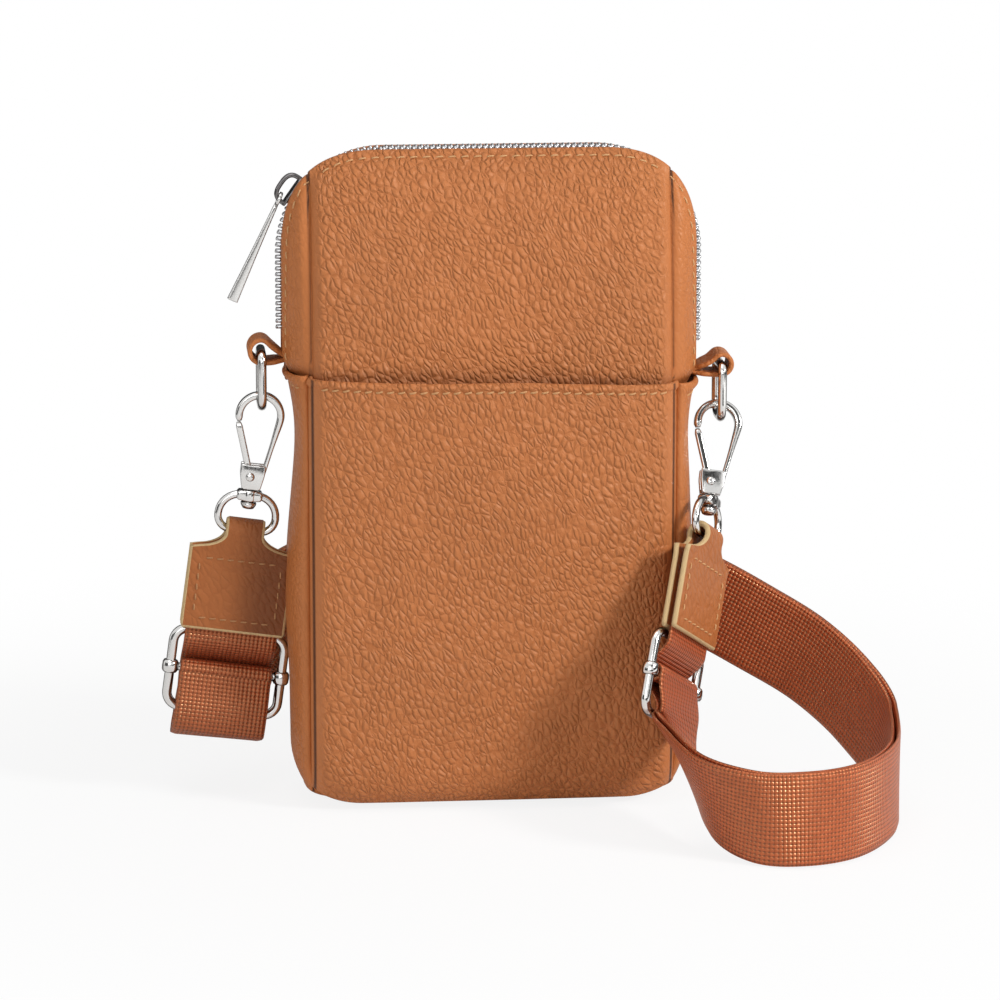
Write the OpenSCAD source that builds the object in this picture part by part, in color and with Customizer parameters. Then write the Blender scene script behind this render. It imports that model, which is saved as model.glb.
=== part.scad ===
// Upright leather phone pouch: zip run over the top, slip pocket in front,
// side rings, swivel snap hooks and a webbing strap at its shortest setting.
// The origin is the middle of the base. X is the width, -Y the front, +Z up.

/* [Pouch] */
// Width across the zip run, over the tape
pouch_w = 116; // [112:1:124]
// Height of the tape at the top of the zip run
pouch_h = 186.5; // [176:0.5:200]
// Half depth at the side seams
seam_d = 16.5; // [14:0.5:19]
// How far the front and back swell beyond the seams
puff = 3; // [1.5:0.5:4]
// How far the side seams lie inside the zip run
strip_w = 7; // [6:0.5:9]
// How far the lower gussets stay inside the zip run
gusset_in = 1; // [0.5:0.1:2]
// Distance from the zip run's top down to where the panels start to close
lean_drop = 88.5; // [80:0.5:100]
// Thickness of the leather
leather_t = 1.3; // [1:0.1:1.6]
// Distance from the zip run's top down to the upper edge of the gussets
gusset_drop = 63.5; // [62.5:0.5:70]

/* [Front pocket] */
// How far the pocket's folded edge stands above the gussets' edge
pocket_over = 1; // [-8:0.5:3]
// How far the pocket's mouth stands open in the middle
pocket_gap = 5.2; // [4.8:0.1:6]

/* [Base] */
// How far the base panel ends inside the zip run
base_in = 12; // [11:0.5:18]
// Depth of the base panel
base_d = 17; // [14:0.5:19]
// Height of the soft roll around the base
base_roll = 11; // [8:0.5:13]

/* [Zip] */
// Radius of the zip run at its two upper corners
corner_r = 28; // [26:1:32]
// Distance between neighbouring teeth of one row
tooth_pitch = 2.1; // [2:0.1:2.5]
// Length of a tooth along the run
tooth_l = 0.9; // [0.8:0.05:0.95]
// Reach of a tooth from the middle of the chain to its heel
tooth_reach = 3; // [2.8:0.1:3.2]
// How far a tooth's head passes the middle when the rows mesh
tooth_mesh = 0.7; // [0.5:0.1:0.8]
// Height of a tooth above the tape
tooth_h = 2; // [1.8:0.1:2.2]
// Width of one zip tape from the middle to its hidden edge
tape_w = 3.9; // [3.7:0.1:4]
// Thickness of the tape
tape_t = 0.6; // [0.4:0.1:0.7]
// Length of the slider
slider_l = 9.6; // [9.6:0.2:10.4]
// Width of the slider
slider_w = 7.6; // [7.2:0.2:8.4]
// Length of the puller from its pin to its tip
puller_l = 34; // [26:1:38]
// Width of the puller at its tip
puller_w = 4.6; // [3.6:0.2:6]

/* [Tabs and rings] */
// Width of the side tabs
tab_w = 9.6; // [8:0.2:10]
// Height of the left ring's pivot above the gusset's upper edge
left_tab_rise = 7.6; // [5:0.1:9]
// Height of the right ring's pivot above the gusset's upper edge
right_tab_rise = 2.2; // [1.6:0.1:6]
// Distance from the zip run's side out to the left ring's pivot
left_pivot_out = 6.6; // [6.6:0.1:10]
// Distance from the zip run's side out to the right ring's pivot
right_pivot_out = 8.2; // [6.8:0.1:11]
// Wire diameter of the rings
ring_wire = 2.6; // [2.2:0.1:2.8]
// Height of a ring between its wire centres
ring_h = 15.2; // [13:0.2:17]
// Width of a ring between its wire centres
ring_w = 13; // [12.8:0.2:15]

/* [Snap hooks] */
// Outer radius of the hook's arch
hook_r = 7; // [6.8:0.1:8]
// Width of the hook's arch and arm
hook_wire = 2.1; // [1.8:0.1:2.3]
// Distance from the arch's centre down to the gate's rivet
hook_drop = 17.6; // [16.8:0.2:20]
// Thickness of the arch and arm from front to back
hook_t = 3; // [2.6:0.1:3.4]
// Thickness of the hook's base
hook_base_t = 4.4; // [4.2:0.1:5]
// Width of the gate
gate_w = 1.9; // [1.6:0.1:2.1]
// Diameter of the gate's rivet
rivet_d = 1.6; // [1.4:0.1:1.8]
// Diameter of the swivel post
post_d = 2.9; // [2.6:0.1:3.2]
// Width of the swivel eye between its wire centres
eye_w = 16.4; // [15:0.2:18]
// Wire diameter of the swivel eye
eye_wire = 2.2; // [2:0.1:2.4]
// Lean of the left hook away from the pouch, in degrees
left_lean = 8; // [7:0.5:10]
// Lean of the right hook towards the pouch, in degrees
right_lean = 10; // [8:0.5:11]
// Forward lean of the right hook, in degrees
right_fore = 25; // [20:1:26]

/* [Strap] */
// Width of the webbing
web_w = 26.4; // [24:0.2:26.6]
// Thickness of the webbing
web_t = 1.2; // [1:0.1:1.4]
// Width of the strap's leather ends
end_w = 28.5; // [26:0.5:29]
// Length of the leather ends below the swivel eye
end_l = 29; // [26:0.5:31]
// How far the strap's loop reaches to the right of the middle
loop_out = 112; // [108:1:122]
// How far the strap's loop reaches forward of the middle
loop_front = 84; // [82:1:90]
// Height of the strap behind the pouch
loop_rise = 64; // [60:1:70]
// Height of the strap's middle line where its edge lies on the ground
loop_lie = 13.9; // [13.8:0.1:15]

/* [Buckles] */
// Wire diameter of the buckle frames
frame_wire = 2.8; // [2.4:0.1:3]
// Width of a buckle frame between its wire centres
frame_w = 32; // [31.8:0.2:33]
// Height of a buckle frame between its wire centres
frame_h = 23; // [22:0.5:26]

/* [Hidden] */
$fn = 48;

// Clearances and overruns
play = 0.3;          // between soft pieces and what they lie on
fit = 0.1;           // between metal pieces that turn on each other
cut = 1;             // overrun of every cut

// Outline of the zip run
zip_x = pouch_w / 2;
corner_x = zip_x - corner_r;
corner_z = pouch_h - corner_r;
skin = play + leather_t;             // outer face of the leather above the tape
edge_y = tooth_reach + 0.5 * leather_t;
seam_x = zip_x - strip_w;
gusset_half = zip_x - gusset_in;
base_w = pouch_w - 2 * base_in;
lean_z = pouch_h - lean_drop;
gusset_h = pouch_h - gusset_drop;
pocket_h = gusset_h + pocket_over;
left_pivot_z = gusset_h + left_tab_rise;
right_pivot_z = gusset_h + right_tab_rise;
left_pivot_x = zip_x + left_pivot_out;
right_pivot_x = zip_x + right_pivot_out;
seam_rise = sqrt(pow(corner_r + skin, 2) - pow(seam_x - corner_x, 2));
seam_top = corner_z + seam_rise;
edge_end = 2 * leather_t;            // how far the strips stop short of the seam's top

// Height of the leather's edge at the distance x from the middle
function edge_z(x) = abs(x) <= corner_x ? pouch_h + skin
    : corner_z + sqrt(max(0, pow(corner_r + skin, 2) - pow(abs(x) - corner_x, 2)));
// Distance of the leather's edge from the middle at the height z
function edge_x(z) = z <= corner_z ? zip_x + skin
    : corner_x + sqrt(max(0, pow(corner_r + skin, 2) - pow(z - corner_z, 2)));

// Bottom corners rise a little towards the seams
corner_lift = 5;
lift_start_share = 0.74;
function foot_z(x) = let(u = max(0, abs(x) / seam_x - lift_start_share) / (1 - lift_start_share))
    play + corner_lift * u * u;

// Half depth of a panel at the distance x from the middle, before it closes
swell_power = 5;
function panel_d(x) = seam_d + puff * sqrt(max(0, 1 - pow(min(1, abs(x) / seam_x), swell_power)));

base_y = base_d / 2 + play;
// Half depth of the leather at the height z in the column x
function depth_at(x, z, d) = let(f = foot_z(x), t = edge_z(x))
    z < f + base_roll ? let(c = 1 - max(0, z - f) / base_roll) base_y + (d - base_y) * sqrt(1 - c * c)
    : z < lean_z ? d
    : let(s = min(1, (z - lean_z) / (t - lean_z))) edge_y + (d - edge_y) * sqrt(max(0, 1 - s * s));
function seam_y(z) = depth_at(seam_x, z, seam_d);

// Sheets: a grid of points, thickened inwards and closed at its rim
function cross3(a, b) = [a[1] * b[2] - a[2] * b[1], a[2] * b[0] - a[0] * b[2], a[0] * b[1] - a[1] * b[0]];
function unit(v) = v / max(norm(v), 1e-9);
function clampi(i, n) = max(0, min(n, i));
function grid_normal(g, i, j) = let(r = len(g) - 1, c = len(g[0]) - 1,
    a = g[clampi(i + 1, r)][j] - g[clampi(i - 1, r)][j],
    b = g[i][clampi(j + 1, c)] - g[i][clampi(j - 1, c)]) unit(cross3(b, a));
module sheet(g, t) {
    rows = len(g); cols = len(g[0]); n = rows * cols;
    outer = [for (i = [0:rows - 1], j = [0:cols - 1]) g[i][j]];
    inner = [for (i = [0:rows - 1], j = [0:cols - 1]) g[i][j] - t * grid_normal(g, i, j)];
    function at(i, j) = i * cols + j;
    faces = concat(
        [for (i = [0:rows - 2], j = [0:cols - 2]) each
            [[at(i, j), at(i + 1, j), at(i + 1, j + 1)], [at(i, j), at(i + 1, j + 1), at(i, j + 1)],
            [n + at(i, j), n + at(i + 1, j + 1), n + at(i + 1, j)],
            [n + at(i, j), n + at(i, j + 1), n + at(i + 1, j + 1)]]],
        [for (j = [0:cols - 2]) each
            [[at(0, j), n + at(0, j + 1), n + at(0, j)], [at(0, j), at(0, j + 1), n + at(0, j + 1)],
            [at(rows - 1, j), n + at(rows - 1, j + 1), at(rows - 1, j + 1)],
            [at(rows - 1, j), n + at(rows - 1, j), n + at(rows - 1, j + 1)]]],
        [for (i = [0:rows - 2]) each
            [[at(i, 0), n + at(i + 1, 0), at(i + 1, 0)], [at(i, 0), n + at(i, 0), n + at(i + 1, 0)],
            [at(i, cols - 1), n + at(i + 1, cols - 1), n + at(i, cols - 1)],
            [at(i, cols - 1), at(i + 1, cols - 1), n + at(i + 1, cols - 1)]]]);
    polyhedron(concat(outer, inner), faces, convexity = 6);
}

// Columns crowd towards the seams, rows towards the foot and the zip edge
panel_cols = 22;
foot_rows = 4;
mid_rows = 4;
top_rows = 10;
function col_x(k) = seam_x * sin(90 * (2 * k / panel_cols - 1));
function panel_row(i, x, out) = let(f = foot_z(x), t = edge_z(x), d = panel_d(x) + out)
    i <= foot_rows ? let(a = 90 * i / foot_rows, z = f + base_roll * (1 - cos(a))) [x, -depth_at(x, z, d), z]
    : i <= foot_rows + mid_rows ? let(s = (i - foot_rows) / mid_rows,
        z = f + base_roll + (lean_z - f - base_roll) * s) [x, -d, z]
    : let(a = 90 * (i - foot_rows - mid_rows) / top_rows, z = lean_z + (t - lean_z) * sin(a))
        [x, -(edge_y + (d - edge_y) * cos(a)), z];
panel_grid = [for (i = [0:foot_rows + mid_rows + top_rows]) [for (k = [0:panel_cols]) panel_row(i, col_x(k), 0)]];

module front_panel() { color("peru") sheet(panel_grid, leather_t); }
module back_panel() { color("peru") rotate([0, 0, 180]) sheet(panel_grid, leather_t); }

// A point on the front panel's outer face, moved off it by o
function face_pt(x, z) = [x, -depth_at(x, z, panel_d(x)), z];
function face_n(x, z) = let(h = 0.002 * pouch_h, g = min(h, seam_x - abs(x)),
    dx = face_pt(min(seam_x, x + h), z) - face_pt(max(-seam_x, x - h), z),
    dz = face_pt(x, z + h) - face_pt(x, z - h)) unit(cross3(dx, dz));
function off_face(x, z, o) = face_pt(x, z) + o * face_n(x, z);

// The pocket lies over the front panel, open along its folded upper edge
pocket_rows = 12;
pocket_foot_share = 0.3;
mouth_power = 2.4;
function mouth(x, z) = pocket_gap * max(0, 1 - pow(abs(x) / seam_x, mouth_power)) * pow(z / pocket_h, 2);
pocket_grid = [for (i = [0:pocket_rows]) [for (k = [0:panel_cols]) let(x = col_x(k),
    f = foot_z(x) + pocket_foot_share * base_roll, z = f + (pocket_h - f) * (1 - cos(90 * i / pocket_rows)))
    off_face(x, z, play + leather_t + mouth(x, z))]];
module front_pocket() { color("peru") sheet(pocket_grid, leather_t); }

module base_panel() {
    color("saddlebrown") linear_extrude(leather_t)
        union() {
            square([base_w - base_d, base_d], center = true);
            for (s = [-1, 1]) translate([s * (base_w - base_d) / 2, 0]) circle(d = base_d);
        }
}

// Lower gussets: one piece each, bulging outwards between the two side seams
gusset_rows = 12;
gusset_cols = 14;
waist = 1.6;         // how far the gussets draw in below their folded top
waist_low_share = 0.58;
waist_mid_share = 0.85;
flare = 1.2;         // how far the folded top stands out again
toe_z = corner_lift + play + 1.2 * leather_t;
toe_h = 14;
function gusset_x(z) = let(low = waist_low_share * gusset_h, mid = waist_mid_share * gusset_h,
    u = max(0, (z - low) / (mid - low)), v = max(0, (z - mid) / (gusset_h - mid)),
    toe = max(0, 1 - (z - toe_z) / toe_h))
    gusset_half - waist * pow(sin(90 * u), 2) + flare * v * v - (gusset_half - seam_x) * 0.8 * toe * toe;
function gusset_pt(z, a) = let(y = seam_y(z) - play)
    [seam_x + play + (gusset_x(z) - seam_x - play) * pow(max(0, cos(a)), 0.9), -y * sin(a), z];
gusset_grid = [for (i = [0:gusset_rows]) let(z = toe_z + (gusset_h - toe_z) * (1 - cos(180 * i / gusset_rows)) / 2)
    [for (k = [0:gusset_cols]) gusset_pt(z, 90 * (1 - 2 * k / gusset_cols))]];
module gusset() { color("chocolate") sheet(gusset_grid, leather_t); }
module right_gusset() { gusset(); }
module left_gusset() { mirror([1, 0, 0]) gusset(); }

// Upper strips, between the side seam and the zip edge
strip_rows = 12;
strip_cols = 5;
strip_bulge = 0.11;
strip_foot = gusset_h + play;
strip_head = seam_top - edge_end;
function strip_pt(z, s) = let(a = [seam_x + play, -(seam_y(z) - play), z], b = [edge_x(z), -edge_y, z],
    c = b - a, n = unit([-c[1], c[0], 0])) a + c * s - n * norm(c) * strip_bulge * 4 * s * (1 - s);
strip_grid = [for (i = [0:strip_rows]) let(z = strip_foot + (strip_head - strip_foot) * sin(90 * i / strip_rows))
    [for (k = [0:strip_cols]) strip_pt(z, k / strip_cols)]];
module strip() { color("chocolate") sheet(strip_grid, leather_t); }
module right_front_strip() { strip(); }
module left_front_strip() { mirror([1, 0, 0]) strip(); }
module right_back_strip() { mirror([0, 1, 0]) strip(); }
module left_back_strip() { rotate([0, 0, 180]) strip(); }

// Lining: a front and a back leaf, hung just inside the panels
lining_t = 0.4;
lining_cols = 8;
lining_rows = 8;
lining_w_share = 0.9;
lining_h_share = 0.88;
lining_grid = [for (i = [0:lining_rows]) [for (k = [0:lining_cols])
    let(x = lining_w_share * seam_x * sin(90 * (2 * k / lining_cols - 1)), z0 = corner_lift + base_roll,
        z = z0 + (lining_h_share * edge_z(x) - z0) * i / lining_rows) off_face(x, z, -leather_t - play)]];
module lining() {
    color("tan") { sheet(lining_grid, lining_t); rotate([0, 0, 180]) sheet(lining_grid, lining_t); }
}

// The zip run: everything that follows it is drawn along two straights, two corners and the top
tab_foot_h = 8;      // of the part of a tab that lies on the zip's end
left_foot = left_pivot_z + 0.7 * tab_foot_h;
right_foot = right_pivot_z + 0.7 * tab_foot_h;
top_l = 2 * corner_x;
module along_run(inner, outer, y0, y1) {
    // a band of the given radial limits, y0 to y1 across the run
    for (s = [-1, 1]) translate([s * zip_x + (s > 0 ? inner : -outer), y0, strip_foot])
        cube([outer - inner, y1 - y0, corner_z - strip_foot]);
    translate([-corner_x, y0, pouch_h + inner]) cube([top_l, y1 - y0, outer - inner]);
    for (s = [-1, 1]) translate([s * corner_x, y1, corner_z]) rotate([90, 0, 0])
        rotate([0, 0, s > 0 ? 0 : 90]) rotate_extrude(angle = 90)
            translate([corner_r + inner, 0]) square([outer - inner, y1 - y0]);
}
tape_y = tooth_mesh + fit;
module zip_tape(s) {
    color("sienna") if (s < 0) along_run(-tape_t, 0, -tape_w, -tape_y);
        else along_run(-tape_t, 0, tape_y, tape_w);
}
module zip_tape_front() { zip_tape(-1); }
module zip_tape_back() { zip_tape(1); }

// One tooth, standing on the tape's edge and gripping it above and below
tooth_under = 0.5;
module tooth(row, head) {
    // row -1 is the front, its heel at -tooth_reach and its head past the middle
    y0 = row < 0 ? -tooth_reach : -head;
    y1 = row < 0 ? head : tooth_reach;
    jaw = tape_y + 2 * fit;
    translate([-tooth_l / 2, y0, 0]) cube([tooth_l, y1 - y0, tooth_h]);
    if (head > 0) translate([-tooth_l / 2, -tape_y, -tape_t - tooth_under])
        cube([tooth_l, 2 * tape_y, tape_t + tooth_under]);
}
parted = -0.62;      // heads of the parted rows stop this far before the middle
corner_n = floor(corner_r * PI / 2 / tooth_pitch);
left_n = floor((corner_z - left_foot) / tooth_pitch);
right_n = floor((corner_z - right_foot) / tooth_pitch);
top_n = floor(top_l / tooth_pitch);
module zip_teeth(row) {
    shift = row < 0 ? 0 : 0.5;
    color("silver") {
        for (i = [0:top_n - 1]) translate([-corner_x + (i + 0.25 + shift) * top_l / top_n, 0, pouch_h])
            tooth(row, tooth_mesh);
        for (i = [0:corner_n - 1]) {
            a = (i + 0.25 + shift) * 90 / corner_n;
            translate([corner_x, 0, corner_z]) rotate([0, a, 0]) translate([0, 0, corner_r])
                tooth(row, tooth_mesh);
            translate([-corner_x, 0, corner_z]) rotate([0, -a, 0]) translate([0, 0, corner_r])
                tooth(row, parted);
        }
        for (i = [0:right_n - 1]) translate([zip_x, 0, corner_z - (i + 0.25 + shift) * tooth_pitch])
            rotate([0, 90, 0]) tooth(row, tooth_mesh);
        for (i = [0:left_n - 1]) translate([-zip_x, 0, corner_z - (i + 0.25 + shift) * tooth_pitch])
            rotate([0, -90, 0]) tooth(row, parted);
    }
}
module zip_teeth_front() { zip_teeth(-1); }
module zip_teeth_back() { zip_teeth(1); }

// Slider: two plates joined by the divider between the parted rows, with a bridge on top.
// It is drawn at the top of a corner and turned to its place on the left corner.
slider_rest = 55;    // degrees from the top of the corner
plate_t = 1.1;
divider_t = 0.9;
bridge_t = 1.3;
bridge_w = 1.6;
bridge_r = 4.8;      // outer radius of the bridge's arch
bow = corner_r - sqrt(pow(corner_r, 2) - pow(slider_l / 2, 2));   // rise of the chain in a plate's length
plate_z = corner_r + tooth_h + play;
under_z = corner_r - tape_t - tooth_under - play - bow;
module plate(w, l, t) {
    linear_extrude(t) union() {
        square([l - w * 0.5, w], center = true);
        for (s = [-1, 1]) translate([s * (l - w * 0.5) / 2, 0]) square([w * 0.5, w * 0.62], center = true);
    }
}
module slider_up() {
    translate([0, 0, plate_z]) plate(slider_w, slider_l, plate_t);
    translate([0, 0, under_z - plate_t]) plate(slider_w, slider_l, plate_t);
    translate([-slider_l * 0.38, -divider_t / 2, under_z - plate_t / 2])
        cube([slider_l * 0.5, divider_t, plate_z + plate_t - under_z]);
    // bridge: an arch over the plate, in the plane of the run
    translate([0, 0, plate_z + plate_t]) rotate([90, 0, 0]) linear_extrude(bridge_w, center = true) difference() {
        circle(r = bridge_r);
        circle(r = bridge_r - bridge_t);
        translate([-bridge_r - cut, -bridge_r - cut]) square([2 * (bridge_r + cut), bridge_r + cut]);
    }
}
module on_left_corner() { translate([-corner_x, 0, corner_z]) rotate([0, -slider_rest, 0]) children(); }
module zip_slider() { color("gainsboro") on_left_corner() slider_up(); }

// Puller: a slim bar that widens to its tip, its eye threaded on the bridge's lower leg
puller_lean = 25;    // degrees from upright, away from the pouch
puller_top_w = 1.9;
puller_t = 1.8;
puller_eye = 1.65;   // inner radius of the eye
eye_rim = 0.8;
eye_t = 1;
hang_angle = 20;     // degrees up the bridge from its lower foot
hang_r = bridge_r - bridge_t / 2;
function turned(p, a) = [p[0] * cos(a) + p[2] * sin(a), p[1], -p[0] * sin(a) + p[2] * cos(a)];
hang = [-corner_x, 0, corner_z]
    + turned([-hang_r * cos(hang_angle), 0, plate_z + plate_t + hang_r * sin(hang_angle)], -slider_rest);
module zip_puller() {
    color("gainsboro") translate(hang) rotate([0, puller_lean, 0]) {
        difference() {
            union() {
                rotate([0, 90, 0]) cylinder(r = puller_eye + eye_rim, h = eye_t, center = true);
                rotate([90, 0, 0]) linear_extrude(puller_t, center = true)
                    polygon([[-eye_t / 2, -puller_eye], [eye_t / 2, -puller_eye],
                        [puller_top_w / 2, -puller_eye - 2 * eye_rim], [puller_w / 2, -puller_l],
                        [-puller_w / 2, -puller_l], [-puller_top_w / 2, -puller_eye - 2 * eye_rim]]);
            }
            rotate([0, 90, 0]) cylinder(r = puller_eye, h = eye_t + 2 * cut, center = true);
        }
    }
}

// Side tabs: a foot on the zip's end, and a loop that holds the ring
ring_r = ring_wire / 2;
ring_play = 1.4;     // round the ring's wire in its tab
loop_in = ring_r + ring_play;
loop_out_r = loop_in + leather_t;
tab_foot_x = zip_x + skin + play;
tab_drop = 0.8;      // the ring hangs this far below the middle of its loop
module tab(px, pz) {
    cz = pz + tab_drop;
    fz = cz - 0.7 * tab_foot_h;
    color("chocolate") translate([0, tab_w / 2, 0]) rotate([90, 0, 0]) linear_extrude(tab_w) difference() {
        hull() {
            translate([px, cz]) circle(r = loop_out_r, $fn = 32);
            translate([tab_foot_x, fz]) square([leather_t, tab_foot_h]);
        }
        hull() {
            translate([px, cz]) circle(r = loop_in, $fn = 32);
            translate([tab_foot_x + leather_t, cz - 0.45 * tab_foot_h]) square([play, tab_foot_h / 2]);
        }
    }
}
module right_tab() { tab(right_pivot_x, right_pivot_z); }
module left_tab() { mirror([1, 0, 0]) tab(left_pivot_x, left_pivot_z); }

// Wire loops: straight rods joined by quarter turns, drawn in the plane x = 0
module quarter(r, wire) { rotate_extrude(angle = 90) translate([r, 0]) circle(d = wire); }
module wire_loop(w, h, r_top, r_low, wire) {
    // w across Y and h down Z, between wire centres, hung from the origin
    for (s = [-1, 1]) mirror([0, s > 0 ? 0 : 1, 0]) {
        translate([0, w / 2 - r_top, -r_top]) rotate([90, 0, 90]) quarter(r_top, wire);
        translate([0, w / 2 - r_low, -h + r_low]) rotate([90, 0, 90]) rotate([0, 0, -90]) quarter(r_low, wire);
        translate([0, w / 2, -h + r_low]) cylinder(d = wire, h = h - r_top - r_low);
    }
    for (t = [[0, r_top], [-h, r_low]]) translate([0, 0, t[0]]) rotate([90, 0, 0])
        cylinder(d = wire, h = w - 2 * t[1], center = true);
}
ring_turn = ring_w * 0.34;
ring_top_turn = ring_w * 0.16;
module ring() { color("gainsboro") wire_loop(ring_w, ring_h, ring_top_turn, ring_turn, ring_wire); }
module right_ring() { translate([right_pivot_x, 0, right_pivot_z]) ring(); }
module left_ring() { translate([-left_pivot_x, 0, left_pivot_z]) ring(); }

// Snap hook, drawn in the XZ plane about the arch's centre, gate on the left
arch_in = hook_r - hook_wire;
// where the ring's wire lies under the arch of a hook that leans forward by f
function seat_z(f) = arch_in - ring_r / cos(f) - hook_t / 2 * tan(f) - play;
base_half = 3.5;     // half the width of the hook's base at its top
base_taper = 0.76;
base_above = 3.4;    // of the hook's base above and below the gate's rivet
base_below = 3.7;
base_top = hook_drop - base_above;
base_low = hook_drop + base_below;
slot_floor = 1.3;    // of the base below the gate's slot
slot_in = 1.6;        // how far the slot runs past the middle
nose_z = -2;
gate_gap = 0.5;
gate_t = 1.7;
gate_x = -0.6;
post_r = post_d / 2;
block_h = 3.2;
block_top = base_low + play;
post_end = block_top + block_h + play;
head_h = 2;
head_d = 4.6;
collar_rim = 0.3;    // of the swivel block around the post's head
module hook_outline() {
    difference() {
        circle(r = hook_r);
        circle(r = arch_in);
        translate([-hook_r - cut, nose_z - hook_r]) square([hook_r + cut, hook_r]);
        translate([0, -hook_r - cut]) square([hook_r + cut, hook_r + cut]);
    }
    polygon([[arch_in, 0], [hook_r, 0], [hook_r * 0.985, -0.25 * base_top], [hook_r * 0.76, -0.8 * base_top],
        [base_half, -base_top - cut], [base_half - hook_wire, -base_top - cut],
        [hook_r * 0.76 - hook_wire, -0.8 * base_top], [hook_r * 0.985 - hook_wire, -0.25 * base_top]]);
}
module hook() {
    color("gainsboro") difference() {
        union() {
            translate([0, hook_t / 2, 0]) rotate([90, 0, 0]) linear_extrude(hook_t) hook_outline();
            translate([0, hook_base_t / 2, 0]) rotate([90, 0, 0]) linear_extrude(hook_base_t)
                polygon([[-base_half, -base_top], [base_half, -base_top], [base_half, -base_top - 0.4 * (base_low - base_top)],
                    [base_half * base_taper, -base_low], [-base_half * base_taper, -base_low],
                    [-base_half, -base_top - 0.4 * (base_low - base_top)]]);
            translate([0, 0, -post_end]) cylinder(r = post_r, h = post_end - base_low + fit);
            translate([0, 0, -post_end - head_h]) cylinder(d1 = head_d * 0.7, d2 = head_d, h = head_h);
        }
        // slot for the gate's tail and bore for its rivet
        translate([-base_half - cut, -gate_t / 2 - fit, -base_low + slot_floor])
            cube([base_half + cut + slot_in, gate_t + 2 * fit, base_low - base_top]);
        translate([gate_x, 0, -hook_drop]) rotate([90, 0, 0])
            cylinder(d = rivet_d, h = hook_base_t + 2 * cut, center = true);
    }
}
gate_tip = [-(hook_r + arch_in) / 2 * 0.98, nose_z - gate_gap];
gate_dir = unit([gate_tip[0] - gate_x, gate_tip[1] + hook_drop]);
gate_l = norm([gate_tip[0] - gate_x, gate_tip[1] + hook_drop]);
gate_angle = atan2(gate_tip[0] - gate_x, gate_tip[1] + hook_drop);
module gate() {
    color("gainsboro") translate([gate_x, 0, -hook_drop]) rotate([90, 0, 0]) linear_extrude(gate_t, center = true)
        difference() {
            union() {
                circle(r = gate_w * 0.8);
                rotate([0, 0, -gate_angle]) translate([-gate_w / 2, 0]) square([gate_w, gate_l - gate_w / 2]);
                rotate([0, 0, -gate_angle]) translate([0, gate_l - gate_w / 2]) circle(d = gate_w);
            }
            circle(d = rivet_d + 2 * fit);
        }
}
module rivet() {
    color("gainsboro") translate([gate_x, 0, -hook_drop]) rotate([90, 0, 0]) {
        cylinder(d = rivet_d, h = hook_base_t, center = true);
        for (s = [-1, 1]) translate([0, 0, s * (hook_base_t / 2 + 0.2 * rivet_d)])
            cylinder(d = rivet_d * 1.6, h = 0.4 * rivet_d, center = true);
    }
}
// Swivel eye: a block that turns on the post, and a D-shaped wire below it, in the XZ plane
eye_low = 33.6;
eye_round = 6;
eye_corner = 4;
block_w = 7.4;
block_d = 4.6;
eye_top = block_top + block_h * 0.5;
module eye() {
    color("gainsboro") difference() {
        union() {
            translate([0, 0, -eye_top]) rotate([0, 0, 90])
                wire_loop(eye_w, eye_low - eye_top, eye_round, eye_corner, eye_wire);
            translate([-block_w / 2, -block_d / 2, -block_top - block_h]) cube([block_w, block_d, block_h]);
            translate([0, 0, -block_top - block_h]) cylinder(d = head_d + 2 * collar_rim, h = block_h);
        }
        translate([0, 0, -block_top - block_h - cut]) cylinder(r = post_r + fit, h = block_h + 2 * cut);
    }
}
// A hook hangs with the ring's wire at its seat, leaning sideways and forward about it
function turned_x(p, a) = [p[0], p[1] * cos(a) - p[2] * sin(a), p[1] * sin(a) + p[2] * cos(a)];
function leaned(p, side, fore) = turned(turned_x(p, -fore), side);
module hung(px, pz, side, fore) {
    translate([px, 0, pz - ring_h]) rotate([-fore, side, 0]) translate([0, 0, -seat_z(fore)]) children();
}
module at_left() { hung(-left_pivot_x, left_pivot_z, left_lean, 0) children(); }
module at_right() { hung(right_pivot_x, right_pivot_z, right_lean, right_fore) children(); }
right_turn = 56;     // degrees by which the right eye is turned on its post
module left_hook() { at_left() hook(); }
module right_hook() { at_right() hook(); }
module left_gate() { at_left() gate(); }
module right_gate() { at_right() gate(); }
module left_gate_rivet() { at_left() rivet(); }
module right_gate_rivet() { at_right() rivet(); }
module left_eye() { at_left() eye(); }
module right_eye() { at_right() rotate([0, 0, right_turn]) eye(); }

// Frames of the strap's two ends: origin at the eye's bar, width along w and length along l
function bar_at(px, pz, side, fore) = [px, 0, pz - ring_h] + leaned([0, 0, -seat_z(fore) - eye_low], side, fore);
left_bar = bar_at(-left_pivot_x, left_pivot_z, left_lean, 0);
right_bar = bar_at(right_pivot_x, right_pivot_z, right_lean, right_fore);
left_w = leaned([1, 0, 0], left_lean, 0);
right_w = leaned([cos(right_turn), sin(right_turn), 0], right_lean, right_fore);
function square_to(v, w) = unit(v - w * (v * w));
left_l = square_to([-0.14, 0, -0.99], left_w);
right_l = square_to([-0.18, -0.35, -0.9], right_w);
module in_frame(o, w, l) {
    // columns of the frame: x along w, y along the face's normal, z against l
    z = -l;
    y = cross3(z, w);
    multmatrix([[w[0], y[0], z[0], o[0]], [w[1], y[1], z[1], o[1]], [w[2], y[2], z[2], o[2]], [0, 0, 0, 1]])
        children();
}

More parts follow.
